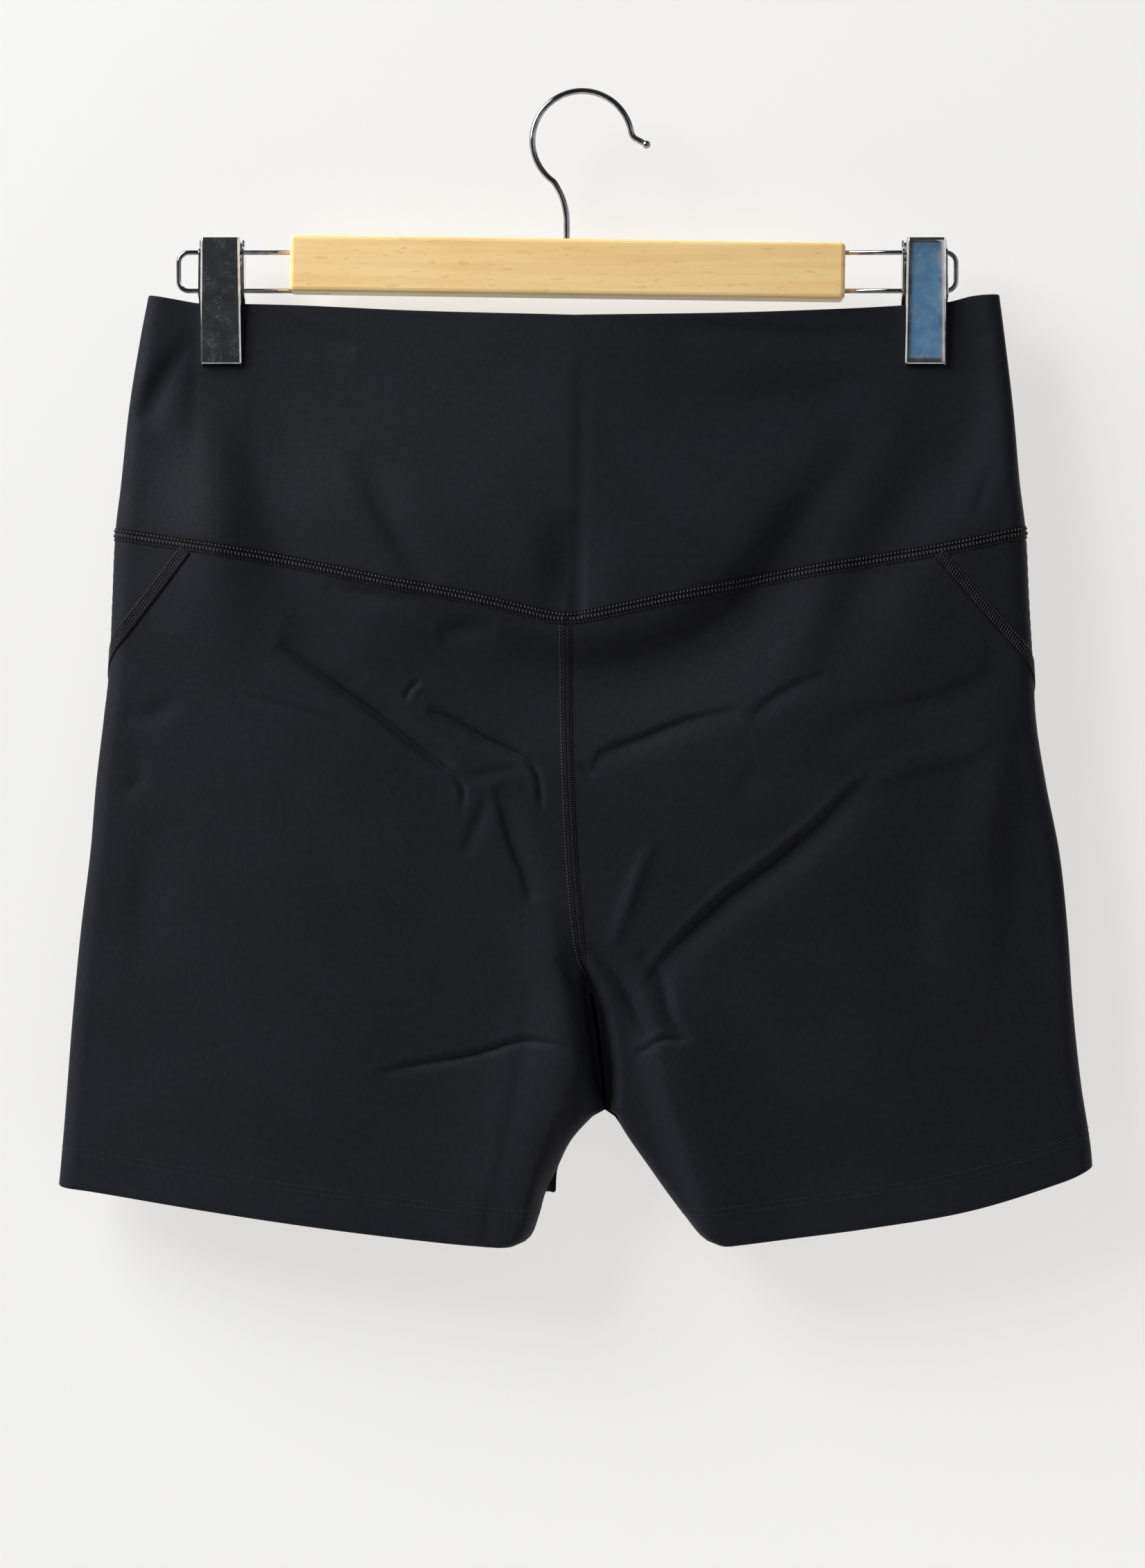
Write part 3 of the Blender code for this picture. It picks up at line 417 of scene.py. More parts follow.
def line_height(zone, face, side, share, height):
    column = COLUMN[side]
    if zone == "band":
        return blend(
            read_table(WAIST_LINE, share, column), read_table(YOKE_LINE[face], share, column), height
        )
    down = height
    if face == "back":
        down = blend(height, back_height(side, height), smoothstep(share))
    return blend(read_table(YOKE_LINE[face], share, column), read_table(HEM_LINE[face], share, column), down)


def row_ends(zone, face, side, height):
    """Places of a row's outer and inner end, and how open the centre seam is there."""
    column, outwards = COLUMN[side], OUTWARDS[side]
    wall = BAND_WALL if zone == "band" else LEG_WALL
    outer_z = line_height(zone, face, side, np.zeros_like(height), height)
    outer_x = read_table(SIDE_EDGE, outer_z, column) - outwards * wall / 2
    if zone == "band":
        return outer_x, blend(WAIST_CENTRE_X, V_X, height), np.ones_like(height)
    inner_z = line_height(zone, face, side, np.ones_like(height), height)
    openness = np.clip(read_table(CENTRE_SEAM[face], inner_z, 2), 0.0, 1.0)
    above = read_table(CENTRE_SEAM[face], inner_z, 1)
    below = read_table(INSEAM[face], inner_z, column)
    inset = GAP / 2 + smoothstep((1 - openness) / 0.3) * wall / 2
    return outer_x, np.where(inner_z >= CROTCH_Z, above, below) + outwards * inset, openness


def row_span(zone, face, side, height):
    """Length of a row from the side fold's middle to its inner end."""
    outer_x, inner_x, _ = row_ends(zone, face, side, height)
    return abs(inner_x - outer_x) - SIDE_RADIUS + FOLD_LENGTH


def face_point(zone, face, side, place, height):
    outer_x, inner_x, openness = row_ends(zone, face, side, height)
    width = abs(inner_x - outer_x)
    angle = np.clip(place / SIDE_RADIUS, 0.0, pi / 2)
    on_fold = place < FOLD_LENGTH
    inwards = np.where(on_fold, SIDE_RADIUS * (1 - np.cos(angle)), SIDE_RADIUS + place - FOLD_LENGTH)
    inwards = np.minimum(inwards, width)
    open_share = np.where(on_fold, np.sin(angle), 1.0)
    parting = np.zeros_like(place)
    if zone == "leg":
        floor = np.interp(
            -line_height(zone, face, side, 1.0, height),
            -np.array(VALLEY)[:, 0],
            np.array(VALLEY)[:, COLUMN[side]],
        )
        floor = floor if face == "front" else 0.0
        near_end = np.clip((width - inwards - floor) / INSEAM_RADIUS[side], 0.0, 1.0)
        rise = np.sqrt(1 - (1 - near_end) ** 2)
        open_share = np.where(near_end < 1, blend(openness, 1.0, rise), open_share)
        parting = np.where(near_end < 1, PARTING, 0.0)
    share = inwards / width
    x = blend(outer_x, inner_x, share)
    z = line_height(zone, face, side, share, height)
    y = blend(parting, half_depth(zone, face, x, z, share), open_share)
    return np.stack((x, -y if face == "front" else y, z), axis=-1)


def cloth_point(zone, side, place, height):
    """Points on the middle of the wall; place runs from the side fold, - onto the back face."""
    place, height = np.broadcast_arrays(np.asarray(place, float), np.asarray(height, float))
    points = np.zeros(place.shape + (3,))
    for face, chosen in (("front", place >= 0), ("back", place < 0)):
        if chosen.any():
            points[chosen] = face_point(zone, face, side, abs(place[chosen]), height[chosen])
    return points


def unit(vectors):
    return vectors / np.maximum(np.linalg.norm(vectors, axis=-1, keepdims=True), 1e-9)


def cloth_normal(zone, side, place, height):
    across = cloth_point(zone, side, place + 0.0004, height) - cloth_point(zone, side, place - 0.0004, height)
    down = cloth_point(zone, side, place, height + 0.0015) - cloth_point(zone, side, place, height - 0.0015)
    return unit(np.cross(down, across)) * (1 if side == "left" else -1)


print("middle of the front left leg:", cloth_point("leg", "left", np.array([0.1]), np.array([0.5])))

# %% [markdown]
# ## Knitted panels
#
# The real shorts are cut from six pieces of stretch knit. Each piece here is a sheet of points on
# the garment's form, which Solidify gives the cloth's real thickness. The hem is turned up as it is
# in the workshop: the same sheet runs down to the edge, round it and back up on the inside, so that
# the legs show a doubled edge.

# %% A sheet from a grid of points
LEG_COLUMNS = {"front": 178, "back": 120}
LEG_ROWS = {"front": 224, "back": 150}
HEM_HEIGHT = 0.0172
HEM_PLY_GAP = 0.00015
SIDE_SEAM = {"left": (0.0396, 0.198, 0.011), "right": (0.0469, 0.227, 0.011)}


def grid_mesh(name, points, closed=False):
    """A mesh of quads over rows and columns of points, with its lengths in metres as its UV map."""
    rows, columns = points.shape[:2]
    across = np.linalg.norm(np.diff(points, axis=1), axis=-1).cumsum(axis=1)
    down = np.linalg.norm(np.diff(points, axis=0), axis=-1).cumsum(axis=0)
    u = np.concatenate((np.zeros((rows, 1)), across), axis=1)
    v = np.concatenate((np.zeros((1, columns)), -down), axis=0)
    index = np.arange(rows * columns).reshape(rows, columns)
    if closed:
        index = np.concatenate((index, index[:, :1]), axis=1)
        joint = np.linalg.norm(points[:, -1] - points[:, 0], axis=-1)
        u = np.concatenate((u, u[:, -1:] + joint[:, None]), axis=1)
        v = np.concatenate((v, v[:, :1]), axis=1)
    corners = (index[:-1, :-1], index[1:, :-1], index[1:, 1:], index[:-1, 1:])
    faces = np.stack([c.ravel() for c in corners], axis=-1)
    uv_u = np.stack([c.ravel() for c in (u[:-1, :-1], u[1:, :-1], u[1:, 1:], u[:-1, 1:])], axis=-1)
    uv_v = np.stack([c.ravel() for c in (v[:-1, :-1], v[1:, :-1], v[1:, 1:], v[:-1, 1:])], axis=-1)
    mesh = bpy.data.meshes.new(name)
    mesh.from_pydata(points.reshape(-1, 3).tolist(), [], faces.tolist())
    layer = mesh.uv_layers.new(name="cloth")
    layer.uv.foreach_set("vector", np.stack((uv_u, uv_v), axis=-1).ravel().astype(np.float32))
    mesh.shade_smooth()
    return mesh


def add_piece(name, mesh, replaced=()):
    """An object of the scene that rides with the solids and stands for some of them."""
    piece = bpy.data.objects.new(name, mesh)
    bpy.context.scene.collection.objects.link(piece)
    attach(piece, "root")
    if replaced:
        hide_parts(*replaced)
    return piece


def give_wall(piece, wall):
    solidify = piece.modifiers.new("wall", "SOLIDIFY")
    solidify.thickness = wall
    solidify.offset = 0.0


def side_seam_place(side, height):
    """Where the side seam lies, round from the side fold: onto the front, then behind the fold."""
    at_yoke, fold_share, behind = SIDE_SEAM[side]
    place = at_yoke * (1 - height / fold_share)
    softness = 0.004
    return -behind + softness * np.logaddexp(0.0, (place + behind) / softness)


def crowded(count, start, end):
    """Shares from 0 to 1 that lie nearly twice as close between start and end as elsewhere."""
    fine = np.linspace(0.0, 1.0, 2001)
    crowd = np.where((fine > start) & (fine < end), 1.0, 0.55).cumsum()
    return np.interp(np.linspace(crowd[0], crowd[-1], count + 1), crowd, fine)


def leg_sheet(face, side):
    """One leg panel from the yoke to the hem's edge."""
    crotch = crotch_share("front", side)
    heights = crowded(LEG_ROWS[face], 0.03, 0.76)
    heights[np.argmin(abs(heights - crotch))] = crotch
    heights[0], heights[-1] = 0.0, 1.0
    sign = 1 if face == "front" else -1
    rows = []
    radius = INSEAM_RADIUS[side]
    for height in heights:
        span = row_span("leg", face, side, np.array([height]))[0]
        start = sign * side_seam_place(side, height) + 0.0002
        # columns crowd where the sheet turns into the inseam fold
        t = crowded(LEG_COLUMNS[face], 0.30, 1.0)
        length = span - radius + pi / 2 * radius
        along = start + (length - start) * t
        turn = np.clip((length - along) / radius, 0.0, pi / 2)
        rolled = span - radius * (1 - np.cos(turn))
        rows.append(np.where(along > length - pi / 2 * radius, rolled, along))
    places = np.array(rows) * sign
    tall = np.repeat(heights[:, None], places.shape[1], axis=1)
    outer = cloth_point("leg", side, places, tall)
    normals = cloth_normal("leg", side, places, tall)
    outer[0, :, 2] -= GAP / 2
    return outer, normals


def turned_over(outer, normals, drop, reach, count):
    """Turns a sheet round its last row and runs it back along its inner side."""
    edge, edge_normal = outer[-1], normals[-1]
    onwards = unit(outer[-1] - outer[-3])
    turn = []
    for angle in (30, 60, 90, 120, 150, 180):
        a = radians(angle)
        turn.append(edge + onwards * (drop / 2 * sin(a)) - edge_normal * (drop / 2 * (1 - cos(a))))
    inner = []
    back = np.linalg.norm(np.diff(outer[::-1], axis=0), axis=-1).cumsum(axis=0)
    back = np.concatenate((np.zeros((1, outer.shape[1])), back))
    columns = np.arange(outer.shape[1])
    for share in np.linspace(0.0, 1.0, count + 1)[1:]:
        # the inner ply follows the outer one at the same distance from the edge
        wanted = reach * share
        above = np.argmax(back >= wanted, axis=0)
        low, high = back[above - 1, columns], back[above, columns]
        t = ((wanted - low) / (high - low))[:, None]
        point = blend(outer[::-1][above - 1, columns], outer[::-1][above, columns], t)
        normal = unit(blend(normals[::-1][above - 1, columns], normals[::-1][above, columns], t))
        inner.append(point - normal * drop)
    return np.concatenate((outer, np.array(turn), np.array(inner)), axis=0)


cloth_pieces = {}
for face in ("front", "back"):
    for side in ("left", "right"):
        outer, normals = leg_sheet(face, side)
        points = turned_over(outer, normals, LEG_WALL + HEM_PLY_GAP, HEM_HEIGHT, 8)
        if (face == "front") != (side == "left"):
            points = points[:, ::-1]
        name = f"leg_{face}_{side}"
        piece = add_piece(name, grid_mesh(name, points), [f"{face}_leg_{side}"])
        give_wall(piece, LEG_WALL)
        cloth_pieces[name] = piece
        print(name, "points", points.shape[0] * points.shape[1])

# %% [markdown]
# ## The high waistband
#
# The waistband is a doubled tube of the same knit, pressed flat by the clips. It is one closed
# ring of points, from the middle of the front round each side fold to the middle of the back. The
# outer ply runs up from the yoke seam, turns over the top edge and comes down again inside.

# %% Waistband ring
BAND_COLUMNS, BAND_ROWS, BAND_INNER_ROWS = 92, 66, 22
BAND_PLY = 0.00074
INNER_PLY_LENGTH = 0.098


def ring_places(face, side, height):
    """Columns of half the band, closer together on the side fold and under the clip."""
    span = row_span("band", face, side, np.array([height]))[0]
    t = np.linspace(0.0, 1.0, BAND_COLUMNS + 1)
    return span * (t + 0.28 * (t**2 - t))


def band_row(height):
    points, normals = [], []
    for side, order in (("left", 1), ("right", -1)):
        front, back = ring_places("front", side, height), -ring_places("back", side, height)
        places = np.concatenate((front[::-1], back[1:]))
        heights = np.full_like(places, height)
        points.append(cloth_point("band", side, places, heights)[::order][:-1])
        normals.append(cloth_normal("band", side, places, heights)[::order][:-1])
    return np.concatenate(points), np.concatenate(normals)


band_rows = [band_row(h) for h in np.linspace(1.0, 0.0, BAND_ROWS + 1)]
middle = np.array([r[0] for r in band_rows])
normals = np.array([r[1] for r in band_rows])
outer = middle + normals * (BAND_WALL - BAND_PLY) / 2
outer[0, :, 2] += GAP / 2
outer[-1] -= unit(outer[-1] - outer[-3]) * BAND_WALL / 2
points = turned_over(outer, normals, BAND_WALL - BAND_PLY, INNER_PLY_LENGTH, BAND_INNER_ROWS)
mesh = grid_mesh("waistband", points[::-1], closed=True)
waistband = add_piece("waistband", mesh, ["front_waistband", "back_waistband"])
give_wall(waistband, BAND_PLY)
cloth_pieces["waistband"] = waistband
print("waistband points:", points.shape[0] * points.shape[1])

# %% [markdown]
# ## Flat seams
#
# Sportswear is joined with flat seams: the two edges are lapped and covered by several needle
# threads and a looper thread, which makes a raised band a few millimetres wide. Each band is a
# closed strip laid over points of the panels moved out along their normals, with a bead at its
# lapped edge and a groove between its rows of stitches.

# %% Strips laid on the cloth
OUTER_HALF_WALL = {"band": BAND_WALL / 2, "leg": LEG_WALL / 2}


def loft(rings, closed=False):
    """Vertices and faces of a skin over rings of points; its ends are capped unless it is closed."""
    count, around = rings.shape[:2]
    index = np.arange(count * around).reshape(count, around)
    turned = np.roll(index, -1, axis=1)
    if closed:
        a, b, c, d = index, turned, np.roll(turned, -1, axis=0), np.roll(index, -1, axis=0)
    else:
        a, b, c, d = index[:-1], turned[:-1], turned[1:], index[1:]
    faces = np.stack((a.ravel(), b.ravel(), c.ravel(), d.ravel()), axis=-1).tolist()
    if not closed:
        faces += [index[0].tolist(), index[-1].tolist()]
    return rings.reshape(-1, 3), faces


def skin_mesh(name, skins, smooth=True):
    """One mesh of several closed skins, with their faces turned outwards."""
    verts, faces, offset = [], [], 0
    for points, polygons in skins:
        verts.append(points)
        faces += [[i + offset for i in polygon] for polygon in polygons]
        offset += len(points)
    mesh = bpy.data.meshes.new(name)
    mesh.from_pydata(np.concatenate(verts).tolist(), [], faces)
    bm = bmesh.new()
    bm.from_mesh(mesh)
    bmesh.ops.recalc_face_normals(bm, faces=bm.faces)
    bm.to_mesh(mesh)
    bm.free()
    if smooth:
        mesh.shade_smooth()
    return mesh


def near_yoke(side, place, drop):
    """Outer surface points and normals at a drop below (or above) the yoke seam."""
    place, drop = np.broadcast_arrays(place, drop)
    points, normals = np.zeros(place.shape + (3,)), np.zeros(place.shape + (3,))
    for face, on_face in (("front", place >= 0), ("back", place < 0)):
        for zone, in_zone in (("band", drop < 0), ("leg", drop >= 0)):
            chosen = on_face & in_zone
            if not chosen.any():
                continue
            at, down = place[chosen], drop[chosen]
            span = row_span("leg", face, side, np.zeros_like(at))
            inwards = np.where(abs(at) < FOLD_LENGTH, SIDE_RADIUS * (1 - np.cos(abs(at) / SIDE_RADIUS)),
                               SIDE_RADIUS + abs(at) - FOLD_LENGTH)
            share = np.clip(inwards / (span + SIDE_RADIUS - FOLD_LENGTH), 0, 1)
            yoke = read_table(YOKE_LINE[face], share, COLUMN[side])
            if zone == "band":
                height = 1 + down / (read_table(WAIST_LINE, share, COLUMN[side]) - yoke)
            else:
                ratio = crotch_share("back", side) / crotch_share("front", side) if face == "back" else 1.0
                slope = 1 + (ratio - 1) * smoothstep(share)
                height = down / (yoke - read_table(HEM_LINE[face], share, COLUMN[side])) / slope
            middle = cloth_point(zone, side, at, height)
            normal = cloth_normal(zone, side, at, height)
            points[chosen] = middle + normal * OUTER_HALF_WALL[zone]
            normals[chosen] = normal
    return points, normals


def even_out(grid, passes, closed=False):
    """Softens a grid of points along its length, so that a stiff seam bends less than the cloth."""
    for _ in range(passes):
        before, after = np.roll(grid, 1, axis=0), np.roll(grid, -1, axis=0)
        softened = (before + 2 * grid + after) / 4
        if closed:
            grid = softened
        else:
            grid = np.concatenate((grid[:1], softened[1:-1], grid[-1:]))
    return grid


def make_strip(points, normals, across, lift, closed=False, under=0.0004):
    """A band over surface points: rows run along the seam, columns across it."""
    normals = unit(even_out(normals, 3, closed))
    top = points + normals * lift[None, :, None]
    bottom = points - normals * under
    length = np.linalg.norm(np.diff(top[:, top.shape[1] // 2], axis=0), axis=-1)
    return {
        "top": top,
        "normals": normals,
        "across": across,
        "along": np.concatenate(([0.0], length.cumsum())),
        "skin": loft(np.concatenate((top, bottom[:, ::-1]), axis=1), closed),
    }


def on_strip(strip, along, across):
    """Points and normals on a strip's top at distances along and across it."""
    rows, columns = strip["top"].shape[:2]
    r = np.interp(along, strip["along"], np.arange(rows))
    c = np.interp(across, strip["across"], np.arange(columns))
    r0, c0 = np.minimum(r.astype(int), rows - 2), np.minimum(c.astype(int), columns - 2)
    tr, tc = (r - r0)[..., None], (c - c0)[..., None]
    found = []
    for grid in (strip["top"], strip["normals"]):
        near = blend(grid[r0, c0], grid[r0, c0 + 1], tc)
        far = blend(grid[r0 + 1, c0], grid[r0 + 1, c0 + 1], tc)
        found.append(blend(near, far, tr))
    return found[0], unit(found[1])


THREAD_SHARES = np.array((0.0, 0.25, 0.75, 1.0))
THREAD_ARCH = np.array((-0.7, 0.45, 0.45, -0.7))
THREAD_TAPER = np.array((0.55, 1.0, 1.0, 0.55))
THREAD_SIDES = 4


def thread_skins(strip, start, end, radius):
    """A short arched thread from each (along, across) start to its end, as one skin."""
    centres, normals = [], []
    for share in THREAD_SHARES:
        place = blend(start, end, share)
        point, normal = on_strip(strip, place[:, 0], place[:, 1])
        centres.append(point)
        normals.append(normal)
    centres, normals = np.stack(centres, axis=1), np.stack(normals, axis=1)
    centres = centres + normals * (THREAD_ARCH * radius)[None, :, None]
    heading = unit(centres[:, -1] - centres[:, 0])[:, None, :]
    aside = unit(np.cross(np.broadcast_to(heading, normals.shape), normals))
    turn = 2 * pi * np.arange(THREAD_SIDES) / THREAD_SIDES
    girth = (THREAD_TAPER * radius)[None, :, None, None]
    ring = centres[:, :, None, :] + girth * (
        aside[:, :, None, :] * np.cos(turn)[None, None, :, None]
        + normals[:, :, None, :] * np.sin(turn)[None, None, :, None]
    )
    count, sections = ring.shape[:2]
    index = np.arange(count * sections * THREAD_SIDES).reshape(count, sections, THREAD_SIDES)
    turned = np.roll(index, -1, axis=2)
    quads = np.stack(
        [q.ravel() for q in (index[:, :-1], turned[:, :-1], turned[:, 1:], index[:, 1:])], axis=-1
    )
    faces = quads.tolist() + index[:, 0, ::-1].tolist() + index[:, -1].tolist()
    return ring.reshape(-1, 3), faces


def stitch_row(strip, pitch, low, high, slant=0.0, shift=0.0, start=0.0, end=None, across_shift=0.0):
    """Starts and ends of stitches a pitch apart, each from low to high across the strip."""
    end = strip["along"][-1] if end is None else end
    along = np.arange(start + pitch * (0.5 + shift), end, pitch)
    starts = np.column_stack((along - slant / 2, np.full_like(along, low + across_shift)))
    ends = np.column_stack((along + slant / 2, np.full_like(along, high + across_shift)))
    return starts, ends


# %% [markdown]
# ## The yoke seam
#
# It runs once round the body under the waistband and dips to a soft V at the front. Its upper
# edge carries a fine cord-like bead, and two rows of upright stitches lie below it.

# %% Yoke seam and its threads
V_SOFTNESS = 0.0065
YOKE_ACROSS = np.array(
    (-2.1, -1.95, -1.75, -1.55, -0.9, -0.2, 0.1, 0.4, 1.1, 2.1, 2.5, 2.8, 3.5, 3.9)
) * 0.001
YOKE_LIFT = np.array(
    (-0.25, 0.50, 0.56, 0.20, 0.50, 0.42, 0.18, 0.40, 0.50, 0.42, 0.15, 0.32, 0.28, -0.25)
) * 0.001


def yoke_strip():
    spans = {
        (face, side): row_span("leg", face, side, np.array([0.0]))[0]
        for face in ("front", "back")
        for side in ("left", "right")
    }
    rows = []
    for side, order in (("left", 1), ("right", -1)):
        front, back = spans["front", side], spans["back", side]
        places = np.linspace(front, -back, 360)[:-1] if order == 1 else np.linspace(-back, front, 360)[:-1]
        tall, wide = np.meshgrid(places, YOKE_ACROSS, indexing="ij")
        from_middle = np.where(tall >= 0, front - tall, back + tall)
        rise = np.where(tall >= 0, 0.255 * (np.sqrt(from_middle**2 + V_SOFTNESS**2) - from_middle), 0.0)
        rows.append(near_yoke(side, tall, wide * 1.02 - rise))
    points = np.concatenate([r[0] for r in rows])
    normals = np.concatenate([r[1] for r in rows])
    return make_strip(even_out(points, 2, True), normals, YOKE_ACROSS, YOKE_LIFT, closed=True)


yoke = yoke_strip()
mesh = skin_mesh("yoke_seam", [yoke["skin"]])
yoke_seam = add_piece("yoke_seam", mesh)
skins, loops = [], []
for low, high, slant, shift in ((-1.50, -0.20, 0.25, 0.0), (0.48, 2.20, -0.35, 0.3), (2.95, 3.55, 0.80, 0.1)):
    row = stitch_row(yoke, 0.00166, low * 0.001, high * 0.001, slant * 0.001, shift)
    if low < 2:
        skins.append(thread_skins(yoke, row[0], row[1], 0.00028))
    else:
        loops.append(thread_skins(yoke, row[0], row[1], 0.00018))
yoke_thread = add_piece("yoke_seam_thread", skin_mesh("yoke_seam_thread", skins))
yoke_loops = add_piece("yoke_seam_loops", skin_mesh("yoke_seam_loops", loops))
print("yoke seam length:", round(float(yoke["along"][-1]), 4))
print("yoke thread triangles:", len(yoke_thread.data.loop_triangles))

# %% [markdown]
# ## The centre seams
#
# The left and right legs meet at a seam from the V down to the crotch, and at another at the back.
# Near the crotch the cloth sinks into a valley, so places across this strip are measured along the
# cloth itself, and the strip is rounded a little where the valley is narrow.

# %% Centre seams and their threads
CENTRE_ACROSS = np.array((-3.35, -3.1, -2.5, -1.7, -1.1, -0.5, 0.0, 0.5, 1.1, 1.7, 2.5, 3.1, 3.35)) * 0.001
CENTRE_LIFT = np.array(
    (-0.25, 0.10, 0.32, 0.18, 0.36, 0.34, 0.18, 0.34, 0.34, 0.18, 0.26, 0.08, -0.25)
) * 0.001


def along_wall(radius, openness, depth, wanted):
    """Turn of the inseam's round, from its edge, at which the cloth's own length is as wanted."""
    turns = np.linspace(0.0, pi / 2, 60)
    mid = (turns[1:] + turns[:-1]) / 2
    step = np.hypot(radius * np.sin(mid), depth[:, None] * (1 - openness[:, None]) * np.cos(mid))
    length = np.concatenate(
        (np.zeros((len(depth), 1)), (step * (turns[1] - turns[0])).cumsum(axis=1)), axis=1
    )
    return np.array([np.interp(w, row, turns) for w, row in zip(wanted, length)])


def centre_strip(face, end_z):
    top_z = read_table(YOKE_LINE[face], 1.0, 1)
    heights_z = np.linspace(top_z - 0.0030, end_z, 260)
    columns = []
    for across in CENTRE_ACROSS:
        side = "left" if across < 0 else "right"
        column = COLUMN[side]
        down = (top_z - heights_z) / (top_z - read_table(HEM_LINE[face], 1.0, column))
        height = down * crotch_share("front", side) / crotch_share("back", side) if face == "back" else down
        _, inner_x, openness = row_ends("leg", face, side, height)
        span = row_span("leg", face, side, height)
        depth = half_depth("leg", face, inner_x, heights_z, np.ones_like(heights_z))
        radius = INSEAM_RADIUS[side]
        turn = along_wall(radius, openness, depth, np.full_like(height, max(abs(across) - 0.00015, 0.0)))
        place = span - radius * (1 - np.cos(turn))
        sign = 1 if face == "front" else -1
        middle = cloth_point("leg", side, place * sign, height)
        normal = cloth_normal("leg", side, (place - 0.0006) * sign, height)
        columns.append((middle, normal))
    normals = np.stack([c[1] for c in columns], axis=1)
    middle = np.stack([c[0] for c in columns], axis=1)
    centre = len(CENTRE_ACROSS) // 2
    middle[:, centre] = (middle[:, centre - 1] + middle[:, centre + 1]) / 2
    outward = np.array((0.0, -1.0 if face == "front" else 1.0, 0.0))
    share = np.exp(-((CENTRE_ACROSS / 0.0012) ** 2))[None, :, None]
    normals = unit(blend(normals, outward, share))
    for _ in range(3):
        middle[:, 1:-1] = (middle[:, :-2] + 2 * middle[:, 1:-1] + middle[:, 2:]) / 4
        normals[:, 1:-1] = unit(normals[:, :-2] + 2 * normals[:, 1:-1] + normals[:, 2:])
    return make_strip(middle + normals * LEG_WALL / 2, normals, CENTRE_ACROSS, CENTRE_LIFT)


skins, threads, loops = [], [], []
for face, end_z in (("front", -0.4150), ("back", -0.4690)):
    strip = centre_strip(face, end_z)
    skins.append(strip["skin"])
    for low, high, slant, shift, pitch in (
        (-2.75, -2.15, 0.9, 0.0, 1.5),
        (-1.55, -0.85, 0.55, 0.2, 1.1),
        (-0.80, -0.15, -0.55, 0.2, 1.1),
        (0.15, 0.80, 0.55, 0.6, 1.1),
        (0.85, 1.55, -0.55, 0.6, 1.1),
        (2.15, 2.75, -0.5, 0.4, 1.2),
    ):
        mirror = 1 if face == "front" else -1
        row = stitch_row(
            strip, pitch * 0.001, low * 0.001 * mirror, high * 0.001 * mirror, slant * 0.001, shift
        )
        if low < -2:
            threads.append(thread_skins(strip, row[0], row[1], 0.00022))
        else:
            loops.append(thread_skins(strip, row[0], row[1], 0.00019))
centre_seam = add_piece("centre_seams", skin_mesh("centre_seams", skins))
centre_thread = add_piece("centre_seam_thread", skin_mesh("centre_seam_thread", threads))
centre_loops = add_piece("centre_seam_loops", skin_mesh("centre_seam_loops", loops))
print("centre seam length:", round(float(strip["along"][-1]), 4))

# %% [markdown]
# ## The side seams
#
# Each side seam leaves the yoke on the front, slants back over the side fold and runs down the
# back to the hem. Its path is kept as a distance round from the fold, so it can pass over the fold
# without any special case. Four columns of short slanted stitches fill it.

# %% Side seams and their threads
SIDE_ACROSS = np.array((-2.9, -2.7, -2.1, -1.45, -0.75, 0.0, 0.75, 1.45, 2.1, 2.7, 2.9)) * 0.001
SIDE_LIFT = np.array((-0.25, 0.30, 0.50, 0.34, 0.50, 0.34, 0.50, 0.34, 0.50, 0.55, -0.25)) * 0.001


def side_strip(side):
    front_leg = read_table(YOKE_LINE["front"], 0.0, COLUMN[side]) - read_table(
        HEM_LINE["front"], 0.0, COLUMN[side]
    )
    height = np.concatenate((np.linspace(0.0095, 0.3, 120), np.linspace(0.3, 0.945, 160)[1:]))
    place = side_seam_place(side, height)
    drop = height * front_leg
    path = np.column_stack((place, drop))
    heading = unit(np.gradient(path, axis=0))
    # + across the strip is towards the middle of the front
    aside = np.column_stack((heading[:, 1], -heading[:, 0]))
    wide = path[:, None, :] + aside[:, None, :] * SIDE_ACROSS[None, :, None]
    points, normals = near_yoke(side, wide[..., 0], np.maximum(wide[..., 1], 0.0))
    return make_strip(points, normals, SIDE_ACROSS, SIDE_LIFT)


skins, threads = [], []
for side in ("left", "right"):
    strip = side_strip(side)
    skins.append(strip["skin"])
    for low, high, slant, shift, pitch in (
        (-2.60, -1.80, 0.55, 0.0, 1.35),
        (-1.35, -0.45, 0.55, 0.3, 1.35),
        (-0.15, 0.75, 0.55, 0.6, 1.35),
        (1.05, 1.85, 0.55, 0.9, 1.35),
    ):
        row = stitch_row(strip, pitch * 0.001, low * 0.001, high * 0.001, slant * 0.001, shift)
        threads.append(thread_skins(strip, row[0], row[1], 0.00017))
side_seam = add_piece("side_seams", skin_mesh("side_seams", skins))
side_thread = add_piece("side_seam_thread", skin_mesh("side_seam_thread", threads))
print("side seam length:", round(float(strip["along"][-1]), 4))

# %% [markdown]
# ## Hem stitching
#
# Twin needles leave two dotted rows above each hem. A bare guide follows the panel at a fixed
# height above its edge, and each stitch is a short arched thread laid on that guide.

# %% Threads of the hems
HEM_ROWS = (0.0145, 0.0172)
HEM_ACROSS = np.array((0.0, 0.5, 1.0)) * 0.001


